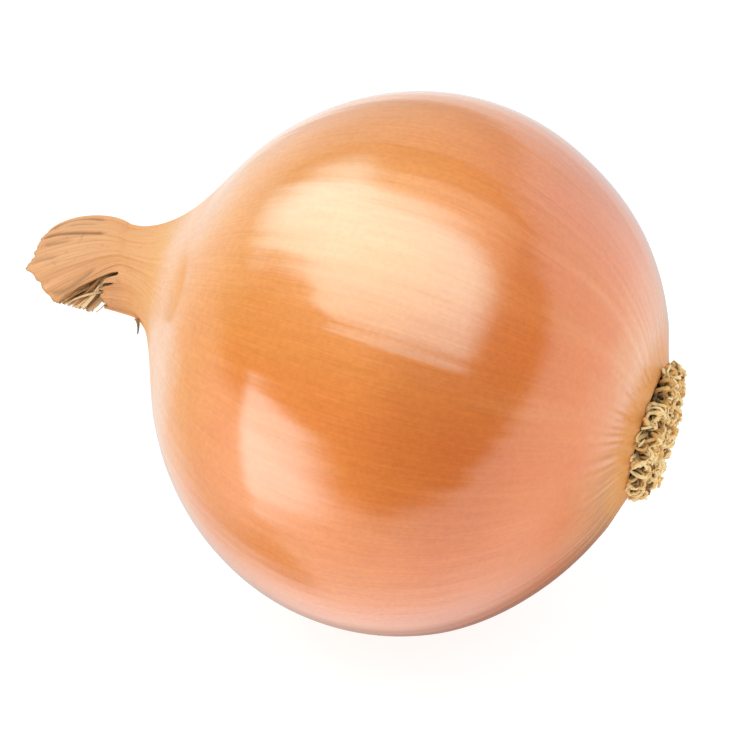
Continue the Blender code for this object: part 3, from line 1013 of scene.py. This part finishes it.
def new_group(name, inputs, outputs):
    """An empty node group with named sockets: (name, kind, value) in, and names of numbers out."""
    tree = bpy.data.node_groups.new(name, "ShaderNodeTree")
    for socket, kind, value in inputs:
        made = tree.interface.new_socket(socket, in_out="INPUT", socket_type="NodeSocket" + kind)
        if value is not None:
            made.default_value = value
    for socket in outputs:
        tree.interface.new_socket(socket, in_out="OUTPUT", socket_type="NodeSocketFloat")
    bench = NodeBench(tree)
    return tree, bench, bench.add("NodeGroupInput").outputs, bench.add("NodeGroupOutput")


def fibre_group():
    inputs = [("Way", "Vector", None), ("Count", "Float", 20.0), ("Length", "Float", 20.0)]
    inputs.append(("Contrast", "Float", 1.0))
    tree, bench, given, out = new_group("fibres", inputs, ["Fibres", "Bundles"])
    way_x, way_y, way_z = bench.split(given["Way"])
    along = bench.maths("DIVIDE", way_z, given["Length"])
    strand = bench.join(bench.times(way_x, given["Count"]), bench.times(way_y, given["Count"]), along)
    fine = bench.noise(strand, scale=1.0, detail=4.0, roughness=0.65)
    broad = bench.noise(strand, scale=BUNDLE_SCALE, detail=2.0, roughness=0.5)
    for name, value in (("Fibres", fine), ("Bundles", broad)):
        centred = bench.maths("SUBTRACT", value, 0.5)
        bench.fill(out, {name: bench.line(centred, given["Contrast"], 0.5, clamp=True)})
    return tree


fibres = fibre_group()
print("group:", fibres.name)

# %% [markdown]
# ## Paper grain
#
# Dry onion skin, leaves and roots are mottled and pitted like old paper. This second group gives three
# masks, in sizes that each finish sets in metres: broad mottle, small pits and fine grain.

# %% Node group: dry paper
PIT_SPREAD = 0.8
PIT_EDGE = (0.60, 0.74)


def paper_group():
    inputs = [("Place", "Vector", None), ("Mottle Size", "Float", 0.008), ("Pit Size", "Float", 0.0006)]
    tree, bench, given, out = new_group("dry_paper", inputs, ["Mottle", "Pits", "Grain"])
    mottle_scale = bench.maths("DIVIDE", 1.0, given["Mottle Size"])
    pit_scale = bench.maths("DIVIDE", 1.0, given["Pit Size"])
    mottle = bench.noise(given["Place"], mottle_scale, detail=4.0, roughness=0.55)
    grain = bench.noise(given["Place"], pit_scale, detail=3.0, roughness=0.6)
    spots = bench.noise(given["Place"], bench.times(pit_scale, PIT_SPREAD), detail=2.0, roughness=0.5)
    bench.fill(out, {"Mottle": mottle, "Pits": bench.step(spots, *PIT_EDGE), "Grain": grain})
    return tree


dry_paper = paper_group()


def paper_on(bench, mottle_size, pit_size):
    inputs = {"Place": bench.where(), "Mottle Size": mottle_size, "Pit Size": pit_size}
    return bench.group(dry_paper, inputs)


print("group:", dry_paper.name)

# %% [markdown]
# ## The ball's colour
#
# The skin is a few layers of amber paper over each other. Its colour goes from pale brown at the roots,
# through deep orange, to gold at the shoulder. Bundles of fibres streak it with gold. It is paler on top and
# deeper in front, and pale streaks leave the roots on the upper side.

# %% Colours of the ball
SKIN_GOLD = "f8a13c"
NECK_TAN = "e2a471"
SKIN_STOPS = (
    # share of the run from roots to neck, colour
    (0.0, "e8a866"), (0.06, "ec9c62"), (0.14, "ea7823"), (0.30, "e6741f"), (0.46, "f88b34"),
    (0.64, "f48c30"), (0.75, SKIN_GOLD), (0.80, "fabf8e"), (0.87, "fed1b2"), (0.93, "f6bc7c"),
    (1.0, NECK_TAN),
)
STOP_WANDER = 0.16
GOLD_STREAKS = 0.30
BALL_END = (0.74, 0.86)
UPPER_SIDE = (0.94, 0.34)
FRONT_SIDE = (-0.26, 0.966)
# colour, strength, side, how far the skin faces it, and where along the run the tint rises and falls
CROWN_TINT = ("fcba70", 0.42, UPPER_SIDE, (-0.1, 0.9), (0.25, 0.58), BALL_END)
DEEP_TINT = ("cc6614", 0.30, FRONT_SIDE, (0.86, 0.985), (0.20, 0.28), (0.38, 0.47))
PALE_TINT = ("ffc090", 0.35, UPPER_SIDE, (-0.2, 0.5), (0.02, 0.09), (0.12, 0.36))
PALE_BUNDLES = (0.52, 0.9)


def tint_mask(bench, way_in, run, tint):
    """How strong a tint is, by the side that the skin faces and the place along the run."""
    strength, side, facing_span, rise, fall = tint[1:]
    turn_cos, turn_sin = bench.split(way_in)[0:2]
    facing = bench.line(turn_cos, side[0], bench.times(turn_sin, side[1]))
    return bench.times(bench.step(facing, *facing_span), bench.window(run, rise, fall), strength)


def ball_colour(bench, way_in, run, paper, fine, ribs, thread_share):
    shifted_run = bench.line(bench.maths("SUBTRACT", paper["Mottle"], 0.5), STOP_WANDER, run)
    amber = bench.ramp(shifted_run, *SKIN_STOPS)
    streaks = bench.times(ribs["Bundles"], bench.step(run, *BALL_END, 1.0, 0.0), GOLD_STREAKS)
    amber = bench.mix(streaks, amber, SKIN_GOLD)
    for tint in (CROWN_TINT, DEEP_TINT):
        amber = bench.mix(tint_mask(bench, way_in, run, tint), amber, tint[0])
    shade = bench.ramp(fine["Fibres"], (0.0, "e8e1d8"), (1.0, "ffffff"))
    amber = bench.mix(thread_share, amber, shade, "MULTIPLY")
    pale = bench.times(tint_mask(bench, way_in, run, PALE_TINT), bench.step(ribs["Bundles"], *PALE_BUNDLES))
    amber = bench.mix(pale, amber, PALE_TINT[0])
    speckle = bench.ramp(paper["Grain"], (0.36, "f7f3ec"), (0.62, "ffffff"))
    return bench.mix(1.0, amber, speckle, "MULTIPLY")


print("colours along the ball:", len(SKIN_STOPS))

# %% [markdown]
# ## The skin's finish
#
# The ball is polished and the dry neck is dull, so neckness mixes two colours and two glosses. Over a softer
# gloss lies a clear coat, a little worn along the fibres: it gives the crisp mirrored softbox. The torn edge
# of the neck is browner. The creases are painted darker as shade, and the mouth's lining is painted dark as
# shade.

# %% Skin material
NECK_GOLD = "ecaa68"
# painted shade in the creases, and the colour of pits in the dry paper
SHADE_AND_PIT_BROWN = "6a4a30"
EDGE_BROWN = "c48f58"
MOUTH_SHADE_BROWN = "6e4218"
MOUTH_SHADE_TAN = "a8763c"
NECK_PITS = 0.22
NECK_GOLD_FADE = (0.0, 0.5, 0.45, 0.0)
THREADS_NEAR_ROOT = (0.08, 0.30, 0.3, 1.0)
BALL_ROUGHNESS = 0.34
FIBRE_ROUGHNESS = 0.08
NECK_ROUGHNESS = 0.36
COAT_START = (0.0, 0.07)
COAT_WEAR = (0.36, 0.78)
RIB_BUMP = 0.8
NECK_GRAIN_BUMP = 1.5


def neck_colour(bench, fold, paper, fine):
    dry = bench.ramp(fine["Fibres"], (0.15, "c88f5c"), (0.6, NECK_TAN), (1.0, "f2c496"))
    dry = bench.mix(bench.times(paper["Pits"], NECK_PITS), dry, SHADE_AND_PIT_BROWN)
    return bench.mix(bench.step(fold, *NECK_GOLD_FADE), dry, NECK_GOLD)


def skin_material():
    material, shader, bench = new_material("onion_skin_polished")
    way_in = bench.attribute("skin_way")
    neck, fold, lining = bench.split(bench.attribute("skin_zone"))
    crease_shade, edge, gloss = bench.split(bench.attribute("skin_shade_and_marks"))
    run = bench.maths("DIVIDE", bench.split(way_in)[2], BODY_WAY)
    paper = paper_on(bench, mottle_size=0.012, pit_size=0.0007)
    fine = bench.group(fibres, {"Way": way_in, "Count": 95.0, "Length": 9.0, "Contrast": 1.6})
    ribs = bench.group(fibres, {"Way": way_in, "Count": 22.0, "Length": 30.0, "Contrast": 1.9})
    thread_share = bench.step(run, *THREADS_NEAR_ROOT)

    amber = ball_colour(bench, way_in, run, paper, fine, ribs, thread_share)
    colour = bench.mix(neck, amber, neck_colour(bench, fold, paper, fine))
    # painted shade: the mouth's lining is dark brown, streaked lighter along its fibres
    inside = bench.mix(fine["Fibres"], MOUTH_SHADE_BROWN, MOUTH_SHADE_TAN)
    # painted shade in the creases and the mouth's lining, and the browner torn edge
    for mask, over in ((crease_shade, SHADE_AND_PIT_BROWN), (edge, EDGE_BROWN), (lining, inside)):
        colour = bench.mix(mask, colour, over)
    rough = bench.line(fine["Fibres"], FIBRE_ROUGHNESS, BALL_ROUGHNESS)
    rough = bench.line(neck, NECK_ROUGHNESS, rough, clamp=True)
    coat = bench.times(gloss, bench.step(run, *COAT_START))
    coat = bench.maths("MULTIPLY", coat, bench.line(fine["Fibres"], *COAT_WEAR), clamp=True)
    bench.fill(shader, {"Base Color": colour, "Roughness": rough, "Specular IOR Level": 0.4})
    bench.fill(shader, {"Coat Weight": coat, "Coat Roughness": 0.13, "Coat IOR": 1.7})

    height = bench.line(ribs["Fibres"], RIB_BUMP, bench.times(fine["Fibres"], thread_share))
    height = bench.line(bench.times(paper["Grain"], neck), NECK_GRAIN_BUMP, height)
    bench.bump(shader, height, strength=0.5, distance=0.05 * MM)
    return material


skin_finish = skin_material()
print("nodes in the skin's finish:", len(skin_finish.node_tree.nodes))

# %% [markdown]
# ## The bulb
#
# Now the net becomes a mesh. A fan of triangles closes each end, and what the points remember goes along with
# them as attributes, where the finish can read it.

# %% Bulb mesh
# painted crease shade: the deeper the crease, the darker, up to a share
CREASE_SHADE_DEPTH = 0.3
CREASE_SHADE_STRENGTH = 0.6
TORN_EDGE = (0.95, 1.0)


def vector_attribute(data, name, values):
    attribute = data.attributes.new(name, "FLOAT_VECTOR", "POINT")
    attribute.data.foreach_set("vector", np.asarray(values, np.float32).ravel())


def net_faces(rows):
    """Four-sided faces between rings, and a fan at each end round two extra points."""
    faces = []
    for r in range(rows - 1):
        for i in range(AROUND):
            j = (i + 1) % AROUND
            faces.append((r * AROUND + i, r * AROUND + j, (r + 1) * AROUND + j, (r + 1) * AROUND + i))
    first, last = rows * AROUND, rows * AROUND + 1
    for i in range(AROUND):
        j = (i + 1) % AROUND
        faces.append((first, j, i))
        faces.append((last, (rows - 1) * AROUND + i, (rows - 1) * AROUND + j))
    return faces


def with_hubs(values):
    """The net's values as one list, with the mean of the first and of the last ring at its end."""
    return np.concatenate((values.reshape(-1, 3), [values[0].mean(axis=0), values[-1].mean(axis=0)]))


def remember(data, name, *columns):
    """Keeps three values at each point of the net, from columns that may be the same along or round it."""
    spread = np.stack([np.broadcast_to(column, way.shape) for column in columns], axis=-1)
    vector_attribute(data, name, with_hubs(spread))


def make_bulb():
    points = with_hubs(posed(fine_net))
    points[:, 2] = np.maximum(points[:, 2], 0.0)
    bulb = mesh_object("onion_bulb", points, net_faces(len(net)), skin_finish)
    remember(bulb.data, "skin_way", np.cos(turns), np.sin(turns), way)
    remember(bulb.data, "skin_zone", neckness, fold_share, lining_share)
    # painted shade: the creases darken with their depth, except on the lining
    dark = np.clip(crease_depth / CREASE_SHADE_DEPTH, 0, 1) * (lining_share < 0.5) * CREASE_SHADE_STRENGTH
    remember(bulb.data, "skin_shade_and_marks", dark, smoothstep(*TORN_EDGE, fold_share), polish[:, None])
    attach(bulb, "root")
    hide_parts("bulb")
    return bulb


bulb = make_bulb()
print("bulb faces:", len(bulb.data.polygons))

# %% [markdown]
# ## Rods, threads and strips
#
# Roots and leaf ends are long and thin. A helper sweeps a small ring of points along a path. The ring is
# carried along without spinning, so a strip stays flat, and each point keeps its place along the strand.

# %% Sweeping a strand


class Strands:
    """Collects swept strands, and makes one mesh of them."""

    def __init__(self, sides):
        self.sides = sides
        self.points, self.faces, self.marks = [], [], []

    def add(self, path, thick, wide, side, mark, depths=None):
        """Path in mm, half thickness and half width at its points, first sideways direction, mark, depths."""
        depths = depths or [0.0] * len(path)
        base = len(self.points)
        corners = [2 * math.pi * i / self.sides for i in range(self.sides)]
        side = Vector(side)
        for i, point in enumerate(path):
            ahead = Vector(path[min(i + 1, len(path) - 1)]) - Vector(path[max(i - 1, 0)])
            forward = ahead.normalized()
            side = (side - forward * side.dot(forward)).normalized()
            up = side.cross(forward)
            for corner in corners:
                offset = side * (math.cos(corner) * wide[i]) + up * (math.sin(corner) * thick[i])
                self.points.append(Vector(point) + offset)
                self.marks.append((mark, i / (len(path) - 1), depths[i]))
        for i in range(len(path) - 1):
            for k in range(self.sides):
                m = (k + 1) % self.sides
                low_ring, high_ring = base + i * self.sides, base + (i + 1) * self.sides
                self.faces.append((low_ring + k, low_ring + m, high_ring + m, high_ring + k))
        self.faces.append(tuple(base + k for k in reversed(range(self.sides))))
        top = base + (len(path) - 1) * self.sides
        self.faces.append(tuple(top + k for k in range(self.sides)))

    def finish(self, name, material):
        strand = mesh_object(name, posed([tuple(p) for p in self.points]), self.faces, material)
        vector_attribute(strand.data, "strand_marks", self.marks)
        return strand


# %% [markdown]
# ## A dry finish
#
# Roots, leaf ends and loose skin are dull and rough. One helper gives them roughness that varies with the
# paper's mottle, and a fine bump of its grain. Each finish then only paints its colour, from what its strands
# remember: a mark of each strand, the share along it, and how deep it lies.

# %% Dry surfaces


def roughen(bench, shader, paper, smoothest, variation, strength, distance):
    bench.fill(shader, {"Roughness": bench.line(paper["Mottle"], variation, smoothest)})
    bench.bump(shader, paper["Grain"], strength, distance)


# %% [markdown]
# ## The root tuft
#
# Trimmed onion roots dry into a springy mat of straw-coloured threads. They grow from a dark stem disc, loop
# over each other, and stay within a low cushion a few millimetres high. Each thread below walks in small
# steps whose direction turns at random, and a gentle pull keeps it inside the cushion.

# %% Paths of the roots
DISC_RADIUS = 8.4
DISC_MARGIN = 0.4
DISC_FACE_AT = 35.3
TUFT_TOP_AT = 37.2
TUFT_EDGE = 9.9
TUFT_EDGE_ROUND = 0.5
TUFT_MIDDLE_HEIGHT = 0.75
TUFT_MIDDLE_RADIUS = 5.0
ROOT_STEPS = 15
ROOT_STEP = 0.62
ROOT_START_DEPTH = 0.9
ROOT_UPRIGHT = 1.3
ROOT_LEANS = (-0.6, 0.6)
ROOT_AXIS = (0.3, 0.8)
ROOT_AXIS_ASIDE = (0, 0.8)
ROOT_CURLS = (0.35, 0.75)
ROOT_WANDER = 0.25
LOOSE_FROM_STEP = 3
# how near a thread may come in mm, and how hard it is then pushed back, or at the rim pushed down
TOP_PULL = (0.4, 0.9)
FOOT_PULL = (0.2, 0.8)
RIM_PULL = (0.6, 0.5)
EDGE_PULL = (0.4, 0.7)
FOOT_DEPTH = 0.6
RIM_GAP = 0.25
RIM_SLOPE = 0.75
DISC_RISE = Vector(place(0.0, ROOT_RISE, 0.0))


def cushion_top(distance):
    """Where the mat ends, along the axis, at a distance from its middle, in mm."""
    sunk = between(TUFT_MIDDLE_HEIGHT, 1.0, float(smoothstep(0.0, TUFT_MIDDLE_RADIUS, distance)))
    fall = math.sqrt(max(0.0, 1.0 - (distance / (TUFT_EDGE + TUFT_EDGE_ROUND)) ** 4))
    return DISC_FACE_AT + (TUFT_TOP_AT - DISC_FACE_AT) * sunk * fall


def pull_back(heading, point, loose):
    """Keeps a thread's heading in the cushion, near its top, its foot, the seat's rim and its edge."""
    out = math.hypot(point.y, point.z)
    if point.x > cushion_top(out) - TOP_PULL[0]:
        heading.x -= TOP_PULL[1]
    if loose and point.x < DISC_FACE_AT - FOOT_PULL[0]:
        heading.x += FOOT_PULL[1]
    if out > ROOT_RIM_RADIUS - RIM_PULL[0]:
        heading.x -= RIM_PULL[1]
    if out > TUFT_EDGE - EDGE_PULL[0]:
        heading -= Vector((0.0, point.y, point.z)) / out * EDGE_PULL[1]
    heading.normalize()


def root_path(draw):
    """One thread, in mm: a start in the disc, then steps that curl and stay in the cushion."""
    distance = (DISC_RADIUS - DISC_MARGIN) * math.sqrt(draw.random())
    turn = draw.uniform(0.0, 2 * math.pi)
    point = Vector((DISC_FACE_AT - ROOT_START_DEPTH, distance * math.sin(turn), distance * math.cos(turn)))
    heading = Vector((ROOT_UPRIGHT, draw.uniform(*ROOT_LEANS), draw.uniform(*ROOT_LEANS))).normalized()
    spreads = (ROOT_AXIS, ROOT_AXIS_ASIDE, ROOT_AXIS_ASIDE)
    axis = Vector([draw.gauss(*spread) for spread in spreads]).normalized()
    curl = draw.uniform(*ROOT_CURLS)
    path = [point.copy()]
    for step in range(ROOT_STEPS):
        loose = step >= LOOSE_FROM_STEP
        axis = (axis + Vector([draw.gauss(0, ROOT_WANDER) for i in range(3)])).normalized()
        heading = (Matrix.Rotation(curl, 3, axis) @ heading).normalized()
        pull_back(heading, point, loose)
        point = point + heading * ROOT_STEP
        past_rim = math.hypot(point.y, point.z) - ROOT_RIM_RADIUS
        lowest = min(DISC_FACE_AT - FOOT_DEPTH, ROOT_RIM_AT + RIM_GAP - RIM_SLOPE * past_rim)
        point.x = max(point.x, lowest) if loose else point.x
        path.append(point.copy())
    return [point + DISC_RISE for point in path]


print("the mat is", round(cushion_top(0.0) - DISC_FACE_AT, 2), "mm high in its middle")

# %% [markdown]
# ## Straw and painted shade
#
# The dried roots differ from pale straw to brown. Painted shade darkens each at its foot and in the inside
# of the mat, so depth counts too: how far a point lies under the cushion's top and in from its side.

# %% Root material
MAT_SHADE_DEPTHS = (0.6, 1.7)
MAT_SHADE = 0.85
FOOT_SHADE_END = 0.36
ROOT_PITS = 0.5


def root_depth(point):
    """How deep in the mat a point lies: 0 at the cushion's top and sides, and 1 well inside."""
    level = point - DISC_RISE
    out = math.hypot(level.y, level.z)
    nearest_side = min(cushion_top(out) - level.x, TUFT_EDGE + TUFT_EDGE_ROUND - out)
    return float(smoothstep(*MAT_SHADE_DEPTHS, nearest_side))


def root_material():
    material, shader, bench = new_material("dry_root_straw")
    mark, share, depth = bench.split(bench.attribute("strand_marks"))
    paper = paper_on(bench, mottle_size=0.003, pit_size=0.0003)
    straw = bench.ramp(mark, (0.0, "6a4620"), (0.14, "d09a52"), (0.36, "f8cb86"), (1.0, "ffecb8"))
    # painted shade: each root is darker at its foot, down by the mat's floor
    straw = bench.mix(bench.step(share, 0.0, FOOT_SHADE_END, 1.0, 0.0), straw, "50361a")
    # painted shade: darker the deeper a point lies in the mat
    straw = bench.mix(bench.times(depth, MAT_SHADE), straw, "3c2208")
    straw = bench.mix(bench.times(paper["Pits"], ROOT_PITS), straw, "8a6432")
    bench.fill(shader, {"Base Color": straw, "Specular IOR Level": 0.2})
    roughen(bench, shader, paper, smoothest=0.5, variation=0.3, strength=0.6, distance=0.08 * MM)
    return material


disc_middle = Vector((DISC_FACE_AT, 0.0, 0.0)) + DISC_RISE
print("shade in the middle of the mat's floor:", round(root_depth(disc_middle), 2))

# %% [markdown]
# ## Laying the mat
#
# A few hundred threads make the mat, each a little thicker at its foot than at its tip. Under them lies the
# stem disc, a short wide rod that is mostly hidden, painted with the shade of the deepest threads.

# %% Root tuft and stem disc
ROOT_SEED = 21
ROOT_COUNT = 430
ROOT_RADII = (0.18, 0.38)
ROOT_TAPER = (1.1, 0.7)
ROOT_SIDEWAYS = (0.1, 0.8, 0.5)
DISC_OUTLINE = (
    # along the axis and out from it, in mm: the disc's back, its side and its face
    (33.4, DISC_RADIUS - 0.6), (33.7, DISC_RADIUS), (34.6, DISC_RADIUS), (34.9, DISC_RADIUS - 1.2),
)
DISC_SIDES = 40
DISC_SIDEWAYS = (0.0, 1.0, 0.0)
DISC_CREASE = math.radians(40.0)
DARKEST_STRAW = 0.0


def make_root_threads():
    draw = random.Random(ROOT_SEED)
    strands = Strands(sides=5)
    for index in range(ROOT_COUNT):
        path = root_path(draw)
        radius = draw.uniform(*ROOT_RADII)
        thick = [radius * between(*ROOT_TAPER, i / ROOT_STEPS) for i in range(len(path))]
        depths = [root_depth(point) for point in path]
        strands.add(path, thick, thick, ROOT_SIDEWAYS, draw.random(), depths)
    tuft = strands.finish("root_threads", root_material())
    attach(tuft, "root")
    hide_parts("root_tuft")
    return tuft


def make_stem_disc():
    """A short wide rod under the threads, painted with their deepest shade."""
    disc = Strands(sides=DISC_SIDES)
    path = [Vector((along, 0.0, 0.0)) + DISC_RISE for along, radius in DISC_OUTLINE]
    radii = [radius for along, radius in DISC_OUTLINE]
    # painted shade: the disc counts as lying deepest in the mat
    disc.add(path, radii, radii, DISC_SIDEWAYS, DARKEST_STRAW, [1.0] * len(path))
    plate = disc.finish("stem_disc", root_material())
    plate.data.set_sharp_from_angle(angle=DISC_CREASE)
    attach(plate, "root")


tuft = make_root_threads()
make_stem_disc()
print("root faces:", len(tuft.data.polygons))

# %% [markdown]
# ## Leaf ends in the mouth
#
# Inside the folded sheath lie the dry ends of the inner leaves, torn to pale papery strips. They grow from
# deep in the mouth and bend down with the fold. Their frayed tips hang in a short fringe under its torn edge.

# %% Leaf ends
LEAF_SEED = 8
LEAF_STRIP_COUNT = 170
LEAF_STRIP_STEPS = 12
LEAF_START_ALONG = -41.8
LEAF_START_OUT = (-2.2, 2.6)
LEAF_START_ASIDE = (-1.5, 3.4)
LEAF_END_ALONG = (-44.6, -49.3)
LEAF_END_OUT = (-5.9, -4.2)
LEAF_END_ASIDE = (-2.6, 3.3)
LEAF_PULLS = (4.0, 4.5)
LEAF_END_BEND = math.radians(58.0)
LEAF_BEND_SPREAD = (-0.5, 0.35)
LEAF_PULL_OUT = (-1.0, 0.5)
LEAF_PULL_ASIDE = (-0.25, 0.3)
LEAF_CROWDING = 0.8
LEAF_WAVES = 7.0
LEAF_WAVE_HEIGHTS = (0.04, 0.26)
LEAF_TWISTS = (-1.2, 1.2)
LEAF_HALF_WIDTHS = (0.10, 0.14, 0.2, 0.3, 0.5)
LEAF_HALF_THICKNESS = 0.07
LEAF_FRAY = (0.5, 0.95)
LEAF_RUN = 10.0
LEAF_MOUTH_SHADE = (0.1, 0.55, 1.0, 0.0)
LEAF_STREAKS = 0.4


def leaf_strip(draw):
    """The path of one strip, in mm: from the floor of the mouth to its frayed end under the torn edge."""
    aside = draw.random()
    start = Vector((LEAF_START_ALONG, draw.uniform(*LEAF_START_OUT), between(*LEAF_START_ASIDE, aside)))
    end_along = between(*LEAF_END_ALONG, draw.random() ** LEAF_CROWDING)
    end = Vector((end_along, draw.uniform(*LEAF_END_OUT), between(*LEAF_END_ASIDE, aside)))
    bend = LEAF_END_BEND + draw.uniform(*LEAF_BEND_SPREAD)
    leave = Vector((-LEAF_PULLS[0], draw.uniform(*LEAF_PULL_OUT), 0.0))
    arrive = Vector((-math.cos(bend), -math.sin(bend), draw.uniform(*LEAF_PULL_ASIDE))) * LEAF_PULLS[1]
    wave, wave_start = draw.uniform(*LEAF_WAVE_HEIGHTS), draw.uniform(*WAVE_STARTS)
    path = []
    for step in range(LEAF_STRIP_STEPS + 1):
        share = step / LEAF_STRIP_STEPS
        spot = [hermite(start[i], leave[i], end[i], arrive[i], share) for i in range(3)]
        spot[2] += wave * math.sin(LEAF_WAVES * share + wave_start)
        path.append(Vector(place(*spot)))
    return path


def leaf_material():
    material, shader, bench = new_material("dry_leaf_paper")
    mark, share = bench.split(bench.attribute("strand_marks"))[0:2]
    paper = paper_on(bench, mottle_size=0.002, pit_size=0.0003)
    strip_way = bench.join(mark, mark, bench.times(share, LEAF_RUN))
    streaks = bench.group(fibres, {"Way": strip_way, "Count": 40.0, "Length": 6.0, "Contrast": 1.5})
    leaf = bench.ramp(mark, (0.0, "6e4a26"), (0.25, "b8824c"), (0.45, "eebb80"), (1.0, "fcdcae"))
    # painted shade: each strip is dark brown where it starts deep in the mouth
    leaf = bench.mix(bench.step(share, *LEAF_MOUTH_SHADE), leaf, "6b4420")
    leaf = bench.mix(bench.times(streaks["Fibres"], LEAF_STREAKS), leaf, "a87844")
    bench.fill(shader, {"Base Color": leaf})
    roughen(bench, shader, paper, smoothest=0.6, variation=0.25, strength=0.5, distance=0.08 * MM)
    return material


def make_leaf_ends():
    draw = random.Random(LEAF_SEED)
    strands = Strands(sides=6)
    for index in range(LEAF_STRIP_COUNT):
        path = leaf_strip(draw)
        half_width = draw.choice(LEAF_HALF_WIDTHS)
        shares = [i / LEAF_STRIP_STEPS for i in range(len(path))]
        wide = [half_width * between(1.0, draw.uniform(*LEAF_FRAY), share) for share in shares]
        thick = [LEAF_HALF_THICKNESS] * len(path)
        side = place(0.0, 1.0, draw.uniform(*LEAF_TWISTS))
        strands.add(path, thick, wide, side, draw.random())
    leaves = strands.finish("leaf_ends", leaf_material())
    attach(leaves, "root")
    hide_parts("neck_leaf_ends")
    return leaves


leaves = make_leaf_ends()
print("leaf faces:", len(leaves.data.polygons))

# %% [markdown]
# ## A curl of loose skin
#
# Where the outermost skin has torn at the foot of the neck, a thin dark curl of it hangs free. It is one flat
# strip that starts on the shoulder and lifts off it.

# %% Skin curl
CURL_STEPS = 10
CURL_TURNS = (math.radians(160.0), math.radians(142.0))
CURL_SHARES = (0.92, 0.76)
CURL_LIFT = (0.2, 1.1)
CURL_HALF_WIDTH = 0.32
CURL_TAPER = 0.3
CURL_HALF_THICKNESS = 0.05
CURL_SIDEWAYS = (0.0, 1.0, 0.3)
CURL_MARK = 0.5
CURL_MOTTLE = 0.25
CURL_PITS = 0.5


def curl_material():
    material, shader, bench = new_material("loose_skin")
    share = bench.split(bench.attribute("strand_marks"))[1]
    paper = paper_on(bench, mottle_size=0.001, pit_size=0.0002)
    brown = bench.ramp(share, (0.0, "c08a58"), (0.5, "7a5c40"), (1.0, "5a4a3c"))
    brown = bench.mix(bench.times(paper["Mottle"], CURL_MOTTLE), brown, "a8784c")
    brown = bench.mix(bench.times(paper["Pits"], CURL_PITS), brown, SHADE_AND_PIT_BROWN)
    bench.fill(shader, {"Base Color": brown})
    roughen(bench, shader, paper, smoothest=0.5, variation=0.25, strength=0.5, distance=0.05 * MM)
    return material


def make_skin_curl():
    strands = Strands(sides=6)
    shares = [i / CURL_STEPS for i in range(CURL_STEPS + 1)]
    path = []
    for share in shares:
        turn = between(*CURL_TURNS, share)
        along, radius = shoulder(between(*CURL_SHARES, share), turn)
        radius = radius + between(*CURL_LIFT, share * share)
        path.append(Vector(skin_point(along, radius, turn, 1.0 - share)))
    wide = [CURL_HALF_WIDTH * between(1.0, CURL_TAPER, share) for share in shares]
    strands.add(path, [CURL_HALF_THICKNESS] * len(path), wide, CURL_SIDEWAYS, CURL_MARK)
    curl = strands.finish("skin_curl", curl_material())
    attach(curl, "root")
    return curl


curl = make_skin_curl()
print("curl faces:", len(curl.data.polygons))
